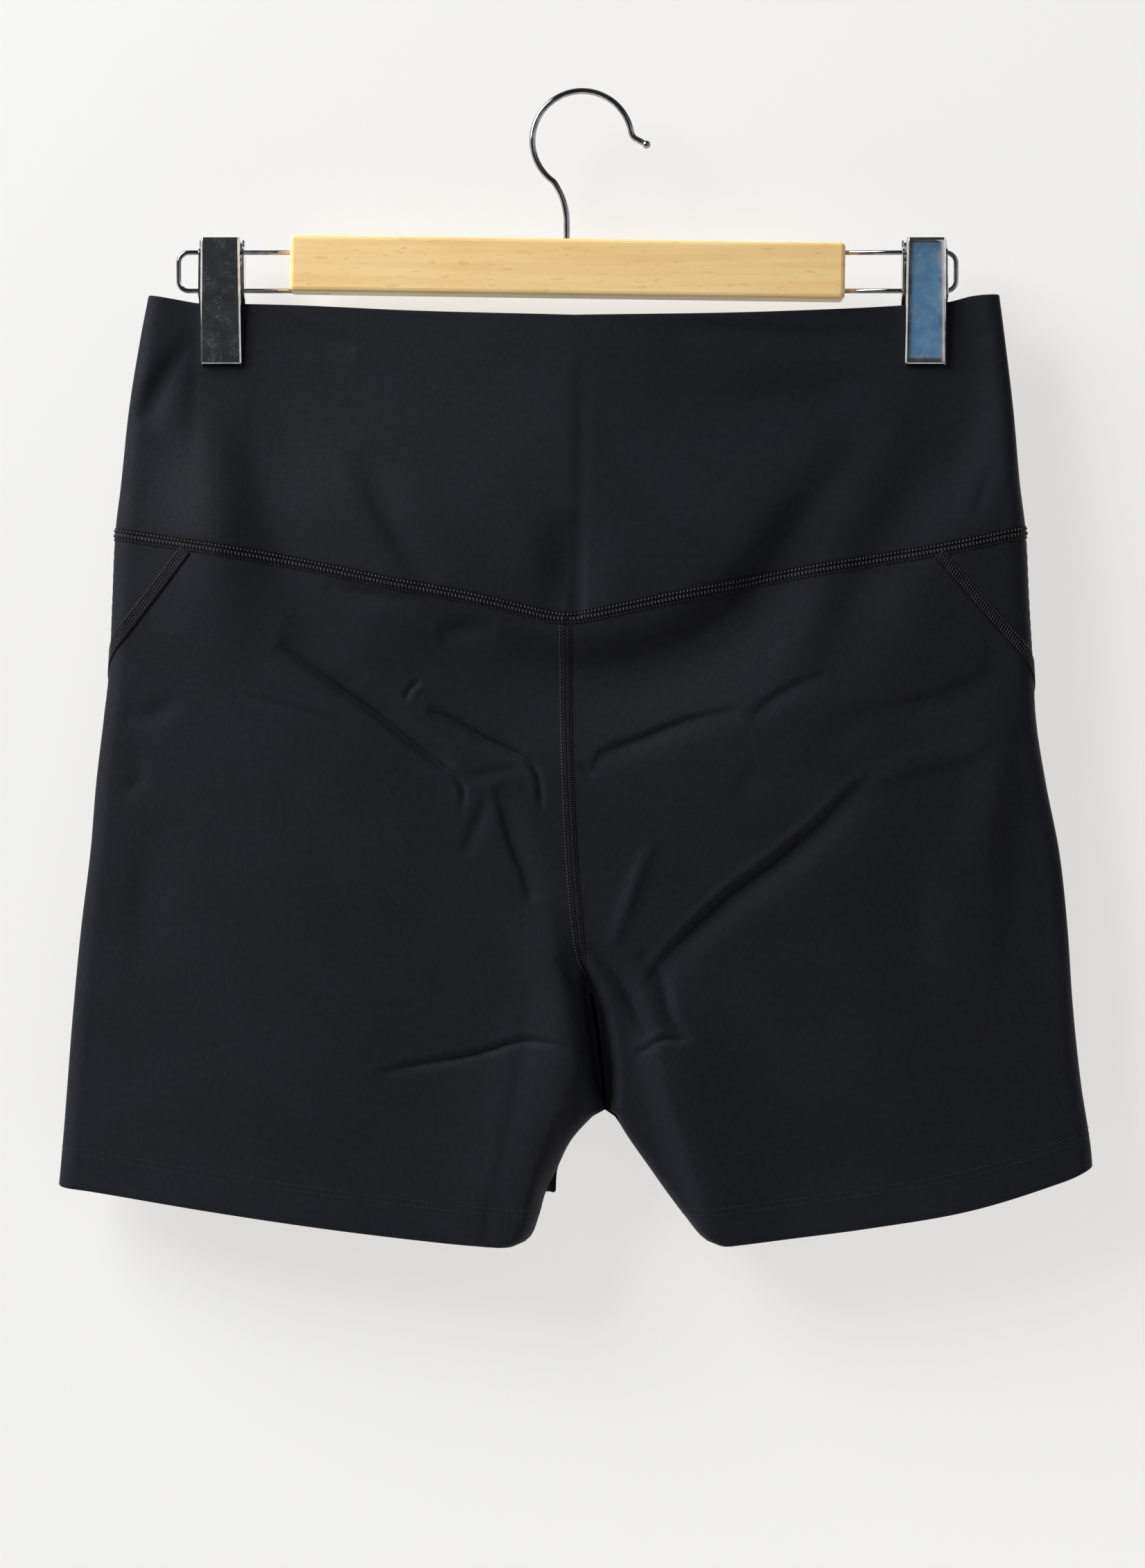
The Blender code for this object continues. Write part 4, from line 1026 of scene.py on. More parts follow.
def hem_strip(face, side, above):
    """A bare guide for stitches, a fixed height above the hem's edge."""
    sign = 1 if face == "front" else -1
    height = np.ones(260)
    start = sign * side_seam_place(side, 1.0) + 0.001
    for _ in range(4):
        span = row_span("leg", face, side, height)
        t = np.linspace(0.0, 1.0, len(height))
        radius = INSEAM_RADIUS[side]
        length = span + (pi / 2 - 1) * radius
        along = start + (length - 0.0005 - start) * t
        turn = np.clip((length - along) / radius, 0.0, pi / 2)
        place = np.where(turn < pi / 2, span - radius * (1 - np.cos(turn)), along)
        now = cloth_point("leg", side, place * sign, height)[:, 2]
        edge = cloth_point("leg", side, place * sign, np.ones_like(height))[:, 2]
        height = height - (above - (now - edge)) / (edge * 0 + 0.29)
    middle = cloth_point("leg", side, place * sign, height)
    normal = cloth_normal("leg", side, place * sign, height)
    points = middle + normal * LEG_WALL / 2
    wide = np.stack((points, points + np.array((0, 0, 0.0005)), points + np.array((0, 0, 0.001))), axis=1)
    normals = np.repeat(normal[:, None, :], 3, axis=1)
    return make_strip(wide, normals, HEM_ACROSS, np.zeros(3))


threads = []
for face in ("front", "back"):
    for side in ("left", "right"):
        for above in HEM_ROWS:
            strip = hem_strip(face, side, above)
            along = np.arange(0.0008, strip["along"][-1] - 0.0008, 0.00175)
            starts = np.column_stack((along - 0.00048, np.full_like(along, 0.0)))
            ends = np.column_stack((along + 0.00048, np.full_like(along, 0.0)))
            threads.append(thread_skins(strip, starts, ends, 0.00017))
hem_thread = add_piece("hem_thread", skin_mesh("hem_thread", threads))
print("hem stitches:", sum(len(t[0]) for t in threads) // (4 * THREAD_SIDES))

# %% [markdown]
# ## Bent wire: the hook, the two loops and the springs
#
# The hanger's metal starts as straight wire bent round pins. A bend is a round tube lofted along a
# path of arcs and straights. Rings of points keep the section true in every bend, and their size
# can change along the path, which also gives the ball on the hook's end.

# %% Wires
WIRE_RADIUS, HOOK_WIRE_RADIUS, HOOK_RADIUS = 0.00115, 0.00145, 0.0230
WIRE_UPPER_Z, WIRE_LOWER_Z = -0.0732, -0.0909
WIRE_END_X = {"left": -0.1863, "right": 0.1726}
WIRE_CORNER_RADIUS = 0.0048
BAR_MIDDLE, BAR_LENGTH, BAR_HEIGHT = (-0.00685, 0.0, -0.0806), 0.2557, 0.0262
WIRE_SIDES = 20


def arc(centre_x, centre_z, radius, start, end, count):
    """Points of an arc in the hanger's plane."""
    turns = np.linspace(start, end, count + 1)
    return np.column_stack(
        (centre_x + radius * np.cos(turns), np.zeros(count + 1), centre_z + radius * np.sin(turns))
    )


def wire_skin(path, radii, sides=WIRE_SIDES):
    """A round skin along a path; each ring stands square to the path and doesn't twist."""
    path = np.asarray(path, float)
    radii = np.broadcast_to(radii, len(path))
    heading = unit(np.gradient(path, axis=0))
    side = np.array((0.0, 1.0, 0.0))
    rings = []
    turn = 2 * pi * np.arange(sides) / sides
    for point, along, radius in zip(path, heading, radii):
        side = unit(side - along * np.dot(side, along))
        other = np.cross(along, side)
        rings.append(point + radius * (np.cos(turn)[:, None] * side + np.sin(turn)[:, None] * other))
    return loft(np.array(rings))


def hook_path():
    """The hook's centreline from the ball on its end, over the arc and down into the bar."""
    start, end = radians(10), radians(235)
    over = arc(0.0, HOOK_WIRE_RADIUS - HOOK_RADIUS, HOOK_RADIUS, start, end, 90)
    tip_turn, tip_radius = radians(52), 0.0045
    bend = arc(
        over[0, 0] + tip_radius * cos(start), over[0, 2] + tip_radius * sin(start), tip_radius,
        start + pi, start + pi + tip_turn, 14,
    )
    heading = start + pi + tip_turn + pi / 2
    ahead = np.array((cos(heading), 0.0, sin(heading)))
    tip = bend[-1] + ahead * np.linspace(0.0, 0.0040, 6)[1:, None]
    turn = pi / 2 - (end - pi)
    stem_x = -0.0071
    stem_radius = (stem_x - over[-1, 0]) / (1 - cos(turn))
    down = arc(stem_x - stem_radius, over[-1, 2] - stem_radius * sin(turn), stem_radius, turn, 0.0, 20)
    foot = BAR_MIDDLE[2] + BAR_HEIGHT / 2 - 0.012
    stem = np.column_stack((np.full(12, stem_x), np.zeros(12), np.linspace(down[-1, 2], foot, 13)[1:]))
    return np.concatenate((tip[::-1], bend[::-1][:-1], over[:-1], down, stem)), tip[-1], ahead


path, tip, ahead = hook_path()
ball_turn = np.linspace(radians(4), radians(140), 18)
ball = tip + ahead * (0.0019 * (np.cos(ball_turn) + 0.7))[:, None]
hook_line = np.concatenate((ball, path[1:]))
hook_radii = np.concatenate((0.0019 * np.sin(ball_turn), np.full(len(path) - 1, HOOK_WIRE_RADIUS)))
hook = add_piece(
    "hook_wire", skin_mesh("hook_wire", [wire_skin(hook_line, hook_radii, 28)]), ["hanger_hook"]
)


def loop_path(side):
    outwards, end_x = OUTWARDS[side], WIRE_END_X[side]
    inside_x = BAR_MIDDLE[0] + outwards * (BAR_LENGTH / 2 - 0.018)
    corner_x = end_x - outwards * WIRE_CORNER_RADIUS
    rows = [np.array([(inside_x, 0.0, WIRE_UPPER_Z)])]
    for centre_z, start, end in (
        (WIRE_UPPER_Z - WIRE_CORNER_RADIUS, pi / 2, 0.0),
        (WIRE_LOWER_Z + WIRE_CORNER_RADIUS, 0.0, -pi / 2),
    ):
        corner = arc(0.0, centre_z, WIRE_CORNER_RADIUS, start, end, 16)
        corner[:, 0] = corner_x + outwards * corner[:, 0]
        rows.append(corner)
    rows.append(np.array([(inside_x, 0.0, WIRE_LOWER_Z)]))
    return np.concatenate(rows)


def spring_path(clip_x):
    """Arms against the two plates and four turns round the lower wire."""
    half, coil, turns, steps = 0.0036, 0.0021, 4, 16
    arm_z, arm_y = -0.0790, 0.0055
    count = turns * steps + steps // 2
    share = np.linspace(0.0, 1.0, count + 1)
    turn = pi + 2 * pi * np.arange(count + 1) / steps
    helix = np.column_stack(
        (clip_x + blend(-half, half, share), coil * np.cos(turn), WIRE_LOWER_Z + coil * np.sin(turn))
    )
    return np.concatenate(([(clip_x - half, -arm_y, arm_z)], helix, [(clip_x + half, arm_y, arm_z)]))


metal_pieces = [hook]
for side, clip_x in zip(("left", "right"), CLIP_X):
    mesh = skin_mesh(f"loop_{side}", [wire_skin(loop_path(side), WIRE_RADIUS)])
    metal_pieces.append(add_piece(f"loop_{side}", mesh, [f"wire_{side}"]))
    mesh = skin_mesh(f"spring_{side}", [wire_skin(spring_path(clip_x), 0.0004, 10)])
    metal_pieces.append(add_piece(f"spring_{side}", mesh, [f"clip_{side}_spring"]))
print("wire pieces:", [p.name for p in metal_pieces])

# %% [markdown]
# ## The clips
#
# Each clip is two plates pressed from thin steel. A plate is a flat face whose long edges turn
# over a small round into flanges, and whose bottom edge turns in to grip. The round edges matter
# more than anything else here: they catch the bright wall and draw the white rim round the dark
# face. A row of points across, from flange to flange, is repeated down the plate and thickened.

# %% Clip plates
CLIP_TOP_Z, CLIP_BOTTOM_Z = -0.0672, -0.1252
CLIP_HALF_WIDTH = (0.0089, 0.0096)
CLIP_METAL, CLIP_CORNER, CLIP_BEVEL, CLIP_BOW = 0.0009, 0.0002, (0.0008, 0.0009), 0.00006
CLIP_FACE_Y = (0.0078, 0.0042)
CLIP_EDGE_Y = GRIP_DEPTH + BAND_WALL / 2 + GAP
EAR_TOP_Z, EAR_BOTTOM_Z, LUG_TOP_Z, EAR_REACH_Y = -0.0702, -0.0955, -0.0872, 0.0026


def plate_section(half_width, face_y, edge_y):
    """Half a plate's section: a straight flange, a steep bevel, and a face bowed by a hair."""
    bevel_end = face_y - min(CLIP_BEVEL[1], 0.7 * (face_y - edge_y))
    corner_x = half_width - CLIP_BEVEL[0]
    turns = np.linspace(radians(30), pi / 2, 7)
    x = corner_x - CLIP_CORNER + CLIP_CORNER * np.cos(turns)
    y = face_y - CLIP_CORNER + CLIP_CORNER * np.sin(turns)
    flange_y = np.linspace(edge_y, bevel_end, 4)[:-1]
    bevel = np.linspace(0.0, 1.0, 5)[:-1]
    face_x = np.linspace(corner_x - CLIP_CORNER, 0.0, 13)[1:]
    bow = CLIP_BOW * (1 - (face_x / (corner_x - CLIP_CORNER)) ** 4)
    return (
        np.concatenate((np.full(3, half_width), blend(half_width, x[0], bevel), x, face_x)),
        np.concatenate((flange_y, blend(bevel_end, y[0], bevel), y, face_y + bow)),
    )


def clip_plate(name, clip_x, facing, widen, extra_top, replaced):
    lip = 0.0011
    turn = np.linspace(0.0, pi / 2, 7)
    body_z = np.linspace(CLIP_TOP_Z - 0.0005, CLIP_BOTTOM_Z + lip, 28)
    z = np.concatenate(
        ([CLIP_TOP_Z, CLIP_TOP_Z - 0.0002], body_z, CLIP_BOTTOM_Z + lip * (1 - np.sin(turn[1:])))
    )
    curl = np.concatenate(([0.0005, 0.0002], np.zeros(len(body_z)), lip * (1 - np.cos(turn[1:]))))
    rows = []
    for row_z, row_curl in zip(z, curl):
        down = (CLIP_TOP_Z - row_z) / (CLIP_TOP_Z - CLIP_BOTTOM_Z)
        reach = -CLIP_EDGE_Y
        middle, half = (extra_top + EAR_BOTTOM_Z) / 2, (extra_top - EAR_BOTTOM_Z) / 2
        bulge = smoothstep((half - abs(row_z - middle)) / 0.0022)
        reach = blend(reach, EAR_REACH_Y, bulge)
        face_y = blend(*CLIP_FACE_Y, down) - row_curl
        edge_y = min(-reach, face_y - CLIP_CORNER - 0.0001)
        x, y = plate_section(blend(*CLIP_HALF_WIDTH, down) + widen, face_y, edge_y)
        x = np.concatenate((-x, x[::-1][1:]))
        y = np.concatenate((y, y[::-1][1:]))
        rows.append(np.column_stack((clip_x + x, facing * y, np.full_like(x, row_z))))
    points = np.array(rows)
    if facing > 0:
        points = points[:, ::-1]
    piece = add_piece(name, grid_mesh(name, points), [replaced])
    solidify = piece.modifiers.new("metal", "SOLIDIFY")
    solidify.thickness = CLIP_METAL
    solidify.offset = -1.0
    bevel = piece.modifiers.new("broken edges", "BEVEL")
    bevel.width = 0.00018
    bevel.segments = 2
    bevel.limit_method = "ANGLE"
    bevel.angle_limit = radians(50)
    return piece


clip_pieces = {}
for side, clip_x in zip(("left", "right"), CLIP_X):
    clip_pieces[side, "front"] = clip_plate(
        f"plate_{side}_front", clip_x, -1, 0.0, LUG_TOP_Z, f"clip_{side}_front"
    )
    clip_pieces[side, "back"] = clip_plate(
        f"plate_{side}_back", clip_x, 1, CLIP_METAL + GAP + 0.0002, EAR_TOP_Z, f"clip_{side}_back"
    )
print("clip plates:", len(clip_pieces))

# %% [markdown]
# ## The wooden bar
#
# The bar keeps its own solid, because it is a planed length of beech with rounded edges and drilled
# holes, and the solid already is exactly that. It only needs a wood finish.

# %% Bar
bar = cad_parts["hanger_bar"]
print("bar faces:", len(bar.data.polygons))

# %% [markdown]
# ## Tools for node materials
#
# The finishes are built from nodes, so they need no image. Three short helpers keep that readable:
# one adds a node and wires its inputs, one does a step of arithmetic, and one opens a node group
# with named inputs and outputs. A group is made once and used by every material that shows the
# same effect, as a maker would keep one recipe for it.

# %% Node helpers


def linear(red, green, blue):
    """An 8-bit sRGB colour as the linear RGBA that a shader takes."""
    channels = [c / 255 for c in (red, green, blue)]
    return (*[c / 12.92 if c <= 0.04045 else ((c + 0.055) / 1.055) ** 2.4 for c in channels], 1.0)


def add_node(tree, kind, inputs=None, **settings):
    """A node with its settings; each named input gets a value or the output that feeds it."""
    node = tree.nodes.new(kind)
    for key, value in settings.items():
        setattr(node, key, value)
    for key, value in (inputs or {}).items():
        if isinstance(value, bpy.types.NodeSocket):
            tree.links.new(value, node.inputs[key])
        else:
            node.inputs[key].default_value = value
    return node


def maths(tree, operation, *values):
    node = add_node(tree, "ShaderNodeMath", dict(enumerate(values)), operation=operation)
    return node.outputs[0]


def in_range(tree, value, low, high, to_low=0.0, to_high=1.0):
    """A value between two limits, moved to between two others with a soft start and end."""
    node = add_node(tree, "ShaderNodeMapRange", interpolation_type="SMOOTHSTEP")
    keys = ("Value", "From Min", "From Max", "To Min", "To Max")
    for key, number in zip(keys, (value, low, high, to_low, to_high)):
        if isinstance(number, bpy.types.NodeSocket):
            tree.links.new(number, node.inputs[key])
        else:
            node.inputs[key].default_value = number
    return node.outputs["Result"]


def new_group(name, inputs, outputs):
    """An empty node group; its inputs are (name, socket kind, value) and its outputs are names."""
    tree = bpy.data.node_groups.new(name, "ShaderNodeTree")
    for label, kind, value in inputs:
        socket = tree.interface.new_socket(label, in_out="INPUT", socket_type=kind)
        if value is not None:
            socket.default_value = value
    for label in outputs:
        tree.interface.new_socket(label, in_out="OUTPUT", socket_type="NodeSocketFloat")
    return tree, tree.nodes.new("NodeGroupInput").outputs, tree.nodes.new("NodeGroupOutput")


def use_group(tree, group, inputs):
    node = tree.nodes.new("ShaderNodeGroup")
    node.node_tree = group
    for key, value in inputs.items():
        if isinstance(value, bpy.types.NodeSocket):
            tree.links.new(value, node.inputs[key])
        else:
            node.inputs[key].default_value = value
    return node.outputs


print("black as a shader takes it:", [round(c, 4) for c in linear(34, 35, 41)])

# %% [markdown]
# ## Effects that several finishes share
#
# "Slow and fine change" is two sizes of noise. Nothing real has one even tone, so cloth, thread,
# metal and wood all use it for small shifts of colour and gloss. "Knitted grain" is the rows of
# tiny loops of a warp knit: fine upright wales crossed by weaker courses, with yarn that isn't
# quite even. "Fine scratches" are short hairlines in three directions, from noise that is
# stretched along each and kept only near one of its levels.

# %% Group: slow and fine change
VECTOR, FLOAT = "NodeSocketVector", "NodeSocketFloat"
change, given, made = new_group(
    "slow and fine change", [("Place", VECTOR, None), ("Size", FLOAT, 0.03)], ["Slow", "Fine"]
)
for label, finer in (("Slow", 1.0), ("Fine", 14.0)):
    scale = maths(change, "DIVIDE", finer, given["Size"])
    noise = add_node(change, "ShaderNodeTexNoise", {"Vector": given["Place"], "Scale": scale, "Detail": 2.0})
    change.links.new(in_range(change, noise.outputs["Fac"], 0.32, 0.68), made.inputs[label])
print("change gives:", [s.name for s in made.inputs if s.name])

# %% Group: knitted grain
grain, given, made = new_group(
    "knitted grain", [("Place", VECTOR, None), ("Wale Width", FLOAT, 0.0006)], ["Height", "Shade"]
)
# a wave texture's bands repeat every 0.314 / scale
wale_scale = maths(grain, "DIVIDE", 0.314, given["Wale Width"])
wales = add_node(grain, "ShaderNodeTexWave", {
    "Vector": given["Place"], "Scale": wale_scale, "Distortion": 1.6, "Detail": 1.0, "Detail Scale": 0.6,
}, bands_direction="X")
courses = add_node(grain, "ShaderNodeTexWave", {
    "Vector": given["Place"], "Scale": maths(grain, "MULTIPLY", wale_scale, 1.3), "Distortion": 2.2,
    "Detail": 1.0, "Detail Scale": 0.8,
}, bands_direction="Y")
yarn = add_node(grain, "ShaderNodeTexNoise", {
    "Vector": given["Place"], "Scale": maths(grain, "MULTIPLY", wale_scale, 2.2), "Detail": 2.0,
})
loops = maths(grain, "MULTIPLY_ADD", courses.outputs["Fac"], 0.45, wales.outputs["Fac"])
height = maths(grain, "MULTIPLY_ADD", yarn.outputs["Fac"], 0.7, loops)
grain.links.new(height, made.inputs["Height"])
# painted shade: where the grain is raised its colour is lighter, and in the gaps it is darker
grain.links.new(in_range(grain, height, 0.6, 1.6), made.inputs["Shade"])
print("grain nodes:", len(grain.nodes))

# %% Group: fine scratches
scratches, given, made = new_group(
    "fine scratches", [("Place", VECTOR, None), ("Length", FLOAT, 0.004), ("Amount", FLOAT, 0.5)], ["Mask"]
)
found = None
for turn, seed in ((0.5, 3.1), (2.2, 11.7), (1.25, 23.9)):
    scale = maths(scratches, "DIVIDE", 1.0, given["Length"])
    turned = add_node(scratches, "ShaderNodeMapping", {
        "Vector": given["Place"], "Rotation": (0.0, turn, 0.0), "Location": (seed, 0.0, seed),
    }, vector_type="POINT")
    long = add_node(
        scratches, "ShaderNodeVectorMath", {0: turned.outputs[0], 1: (1.0, 12.0, 22.0)}, operation="MULTIPLY"
    )
    hair = add_node(scratches, "ShaderNodeTexNoise", {
        "Vector": long.outputs[0], "Scale": scale, "Detail": 1.0, "Roughness": 0.4,
    })
    off_level = maths(scratches, "ABSOLUTE", maths(scratches, "SUBTRACT", hair.outputs["Fac"], 0.60))
    line = in_range(scratches, off_level, 0.001, 0.007, 1.0, 0.0)
    where = add_node(scratches, "ShaderNodeTexNoise", {
        "Vector": turned.outputs[0], "Scale": scale, "Detail": 0.0,
    })
    sparse = in_range(scratches, where.outputs["Fac"], 0.60, 0.65)
    mark = maths(scratches, "MULTIPLY", line, sparse)
    found = mark if found is None else maths(scratches, "MAXIMUM", found, mark)
scratches.links.new(maths(scratches, "MULTIPLY", found, given["Amount"]), made.inputs["Mask"])
print("scratch nodes:", len(scratches.nodes))

# %% [markdown]
# ## Cloth, seams and thread
#
# Black polyamide knit is a very dark blue-grey with a low, wide gloss; its stretched wales are painted
# a little lighter than the gaps between them, a painted shade in the gaps. The seams are the same yarn
# under stitches, painted darker as a painted shade, and the thread is filament yarn that is a little
# greyer and shinier. The grain goes into the colour, the roughness and the bump, so it shows in any light.

# %% Cloth materials


def open_material(name, roughness, specular, **numbers):
    """A material with its Principled shader, whose even numbers are set on its own sockets."""
    material = bpy.data.materials.new(name)
    material.use_nodes = True
    tree = material.node_tree
    shader = tree.nodes["Principled BSDF"]
    shader.inputs["Roughness"].default_value = roughness
    shader.inputs["Specular IOR Level"].default_value = specular
    for label, value in numbers.items():
        shader.inputs[label.replace("_", " ")].default_value = value
    return material, tree, shader


def mixed(tree, share, first, second):
    node = add_node(tree, "ShaderNodeMix", data_type="RGBA")
    tree.links.new(share, node.inputs["Factor"])
    for socket, value in ((node.inputs[6], first), (node.inputs[7], second)):
        if isinstance(value, bpy.types.NodeSocket):
            tree.links.new(value, socket)
        else:
            socket.default_value = value
    return node.outputs[2]


def bump(tree, shader, height, strength, distance):
    node = add_node(tree, "ShaderNodeBump", {"Strength": strength, "Distance": distance, "Height": height})
    tree.links.new(node.outputs[0], shader.inputs["Normal"])


def cloth_material(name, dark, light, place, wale_width, tone_size, roughness, bump_height):
    material, tree, shader = open_material(name, roughness[0], 0.10, Sheen_Weight=0.01, Sheen_Roughness=0.4)
    if place == "cloth":
        at = add_node(tree, "ShaderNodeUVMap", uv_map="cloth").outputs[0]
    else:
        at = add_node(tree, "ShaderNodeTexCoord").outputs["Object"]
    knitted = use_group(tree, grain, {"Place": at, "Wale Width": wale_width})
    tone = use_group(tree, change, {"Place": at, "Size": tone_size})
    share = maths(tree, "MULTIPLY_ADD", knitted["Shade"], 0.6, maths(tree, "MULTIPLY", tone["Slow"], 0.18))
    share = maths(tree, "MULTIPLY_ADD", tone["Fine"], 0.28, share)
    tree.links.new(mixed(tree, share, linear(*dark), linear(*light)), shader.inputs["Base Color"])
    tree.links.new(in_range(tree, share, 0.0, 1.0, *roughness), shader.inputs["Roughness"])
    bump(tree, shader, knitted["Height"], 0.35, bump_height)
    return material


knit = cloth_material(
    "black knit", (18, 19, 24), (30, 31, 38), "cloth", 0.00062, 0.035, (0.75, 0.62), 0.00006
)
# painted shade: the seam's cloth is darker than the knit beside it
seam = cloth_material("seam in painted shade", (7, 7, 9), (17, 17, 21), "seam", 0.00045, 0.012, (0.70, 0.55), 0.00008)



def thread_material(name, dark, light):
    material, tree, shader = open_material(name, 0.5, 0.25)
    at = add_node(tree, "ShaderNodeTexCoord").outputs["Object"]
    tone = use_group(tree, change, {"Place": at, "Size": 0.006})
    share = maths(tree, "MULTIPLY_ADD", tone["Fine"], 0.6, maths(tree, "MULTIPLY", tone["Slow"], 0.4))
    tree.links.new(mixed(tree, share, linear(*dark), linear(*light)), shader.inputs["Base Color"])
    tree.links.new(in_range(tree, share, 0.0, 1.0, 0.6, 0.42), shader.inputs["Roughness"])
    bump(tree, shader, tone["Fine"], 0.3, 0.00004)
    return material


thread = thread_material("sewing thread", (46, 47, 50), (86, 87, 90))
# painted shade: a darker copy of the sewing thread, for the rows named loops and the hem stitches
thread_in_painted_shade = thread_material("thread in painted shade", (25, 26, 30), (53, 54, 59))
for piece in cloth_pieces.values():
    piece.data.materials.append(knit)
for piece in (yoke_seam, centre_seam, side_seam):
    piece.data.materials.append(seam)
for piece in (yoke_thread, centre_thread, side_thread):
    piece.data.materials.append(thread)
for piece in (yoke_loops, centre_loops, hem_thread):
    piece.data.materials.append(thread_in_painted_shade)
print("knit nodes:", len(knit.node_tree.nodes))

# %% [markdown]
# ## Plated steel
#
# The hook, wires and clips are nickel-plated steel. Plating is a mirror with a faint cloudiness,
# and years in a wardrobe leave hairline scratches that scatter light. Scratches make the metal
# rougher and whiter, and finger marks raise the roughness softly. The wire's metal is painted
# darker than the pressed plates, a painted shade.

# %% Metal material


def plated_material(name, dull, bright):
    material, tree, shader = open_material(name, 0.1, 0.5)
    at = add_node(tree, "ShaderNodeTexCoord").outputs["Object"]
    hairlines = use_group(tree, scratches, {"Place": at, "Length": 0.0060, "Amount": 0.6})["Mask"]
    cloudy = use_group(tree, change, {"Place": at, "Size": 0.007})
    tint = mixed(tree, cloudy["Slow"], linear(*dull), linear(*bright))
    tree.links.new(mixed(tree, hairlines, tint, linear(236, 235, 232)), shader.inputs["Base Color"])
    rough = maths(tree, "MULTIPLY_ADD", cloudy["Slow"], 0.05, 0.05)
    tree.links.new(maths(tree, "MULTIPLY_ADD", hairlines, 0.35, rough), shader.inputs["Roughness"])
    tree.links.new(maths(tree, "MULTIPLY_ADD", hairlines, -0.75, 1.0), shader.inputs["Metallic"])
    bump(tree, shader, cloudy["Fine"], 0.05, 0.00002)
    return material


plate_finish = plated_material("plated steel", (196, 197, 199), (222, 222, 221))
# painted shade: the wire is a darker copy of the plate metal
wire_metal_in_painted_shade = plated_material("wire metal in painted shade", (138, 138, 141), (176, 176, 177))
for piece in clip_pieces.values():
    piece.data.materials.append(plate_finish)
for piece in metal_pieces:
    piece.data.materials.append(wire_metal_in_painted_shade)
print("metal nodes:", len(wire_metal_in_painted_shade.node_tree.nodes))

# %% [markdown]
# ## Beech
#
# Beech is a pale, even wood. Along its length run faint streaks of growth rings, and short dark
# flecks a few millimetres long are its mark. Both are noise stretched along the bar. A thin
# varnish gives it a soft gloss, and it has a few fine handling marks.

# %% Wood material
beech, tree, shader = open_material("varnished beech", 0.4, 0.4, Coat_Weight=0.15, Coat_Roughness=0.25)
at = add_node(tree, "ShaderNodeTexCoord").outputs["Object"]


def stretched_noise(scale, stretch, detail, seed=0.0):
    long = add_node(tree, "ShaderNodeMapping", {
        "Vector": at, "Scale": (scale / stretch, scale, scale), "Location": (seed, seed, seed),
    })
    noise = add_node(tree, "ShaderNodeTexNoise", {"Vector": long.outputs[0], "Scale": 1.0, "Detail": detail})
    return noise.outputs["Fac"]


streaks = in_range(tree, stretched_noise(260.0, 26.0, 3.0), 0.34, 0.66)
rings = in_range(tree, stretched_noise(75.0, 14.0, 2.0, 4.0), 0.34, 0.66)
flecks = in_range(tree, stretched_noise(950.0, 7.0, 1.0, 9.0), 0.64, 0.72)
tone = use_group(tree, change, {"Place": at, "Size": 0.05})
marks = use_group(tree, scratches, {"Place": at, "Length": 0.012, "Amount": 0.25})["Mask"]
share = maths(tree, "MULTIPLY_ADD", streaks, 0.5, maths(tree, "MULTIPLY_ADD", rings, 0.3, maths(
    tree, "MULTIPLY", tone["Slow"], 0.2)))
wood = mixed(tree, share, linear(236, 196, 132), linear(247, 215, 156))
wood = mixed(tree, maths(tree, "MULTIPLY", flecks, 0.35), wood, linear(205, 156, 96))
tree.links.new(mixed(tree, marks, wood, linear(250, 226, 178)), shader.inputs["Base Color"])
tree.links.new(in_range(tree, share, 0.0, 1.0, 0.46, 0.36), shader.inputs["Roughness"])
bump(tree, shader, maths(tree, "MULTIPLY_ADD", flecks, -0.5, streaks), 0.12, 0.00012)
bar.data.materials.clear()
bar.data.materials.append(beech)
print("wood nodes:", len(tree.nodes))

# %% [markdown]
# ## Wall, floor and light
#
# The shorts hang in front of a pale wall, in soft light from the upper left. Wall and floor glow
# with a painted light of their own, a little more towards the right, so the shadow on the wall stays
# pale. Wall and floor are one-sided: from behind they are clear, and a light behind the wall shines on
# the back of the shorts. The room itself is dim, but a camera that looks past the wall sees it pale.
# The polished steel mirrors whatever stands beside the camera: a blue card tints the right clip,
# white cards on both sides brighten the edges, and the left clip sees the dark of the room.

# %% Stage


def stage_material(name, colour, glow_left, glow_right):
    material, tree, shader = open_material(name, 0.9, 0.1)
    shader.inputs["Base Color"].default_value = (*colour, 1.0)
    shader.inputs["Emission Strength"].default_value = 1.0
    at = add_node(tree, "ShaderNodeSeparateXYZ", {0: add_node(tree, "ShaderNodeTexCoord").outputs["Object"]})
    # painted light: the sheet glows with light of its own, a little more towards the right
    rightwards = in_range(tree, at.outputs["X"], -0.45, 0.45)
    glow = mixed(tree, rightwards, (*glow_left, 1.0), (*glow_right, 1.0))
    tree.links.new(glow, shader.inputs["Emission Color"])
    behind = add_node(tree, "ShaderNodeNewGeometry").outputs["Backfacing"]
    clear = add_node(tree, "ShaderNodeBsdfTransparent")
    chosen = add_node(tree, "ShaderNodeMixShader", {0: behind, 1: shader.outputs[0], 2: clear.outputs[0]})
    tree.links.new(chosen.outputs[0], tree.nodes["Material Output"].inputs["Surface"])
    return material


def stage_sheet(name, corners, material):
    mesh = bpy.data.meshes.new(name)
    mesh.from_pydata(corners, [], [(0, 1, 2, 3)])
    obj = bpy.data.objects.new(name, mesh)
    bpy.context.scene.collection.objects.link(obj)
    mesh.materials.append(material)
    return obj


pale = stage_material("pale wall", (0.245, 0.25, 0.26), (0.625, 0.615, 0.59), (0.665, 0.655, 0.64))
WALL_Y, FLOOR_Z = 0.026, -0.80
wall = stage_sheet("wall", [
    (-3, WALL_Y, FLOOR_Z), (3, WALL_Y, FLOOR_Z), (3, WALL_Y, 2), (-3, WALL_Y, 2),
], pale)
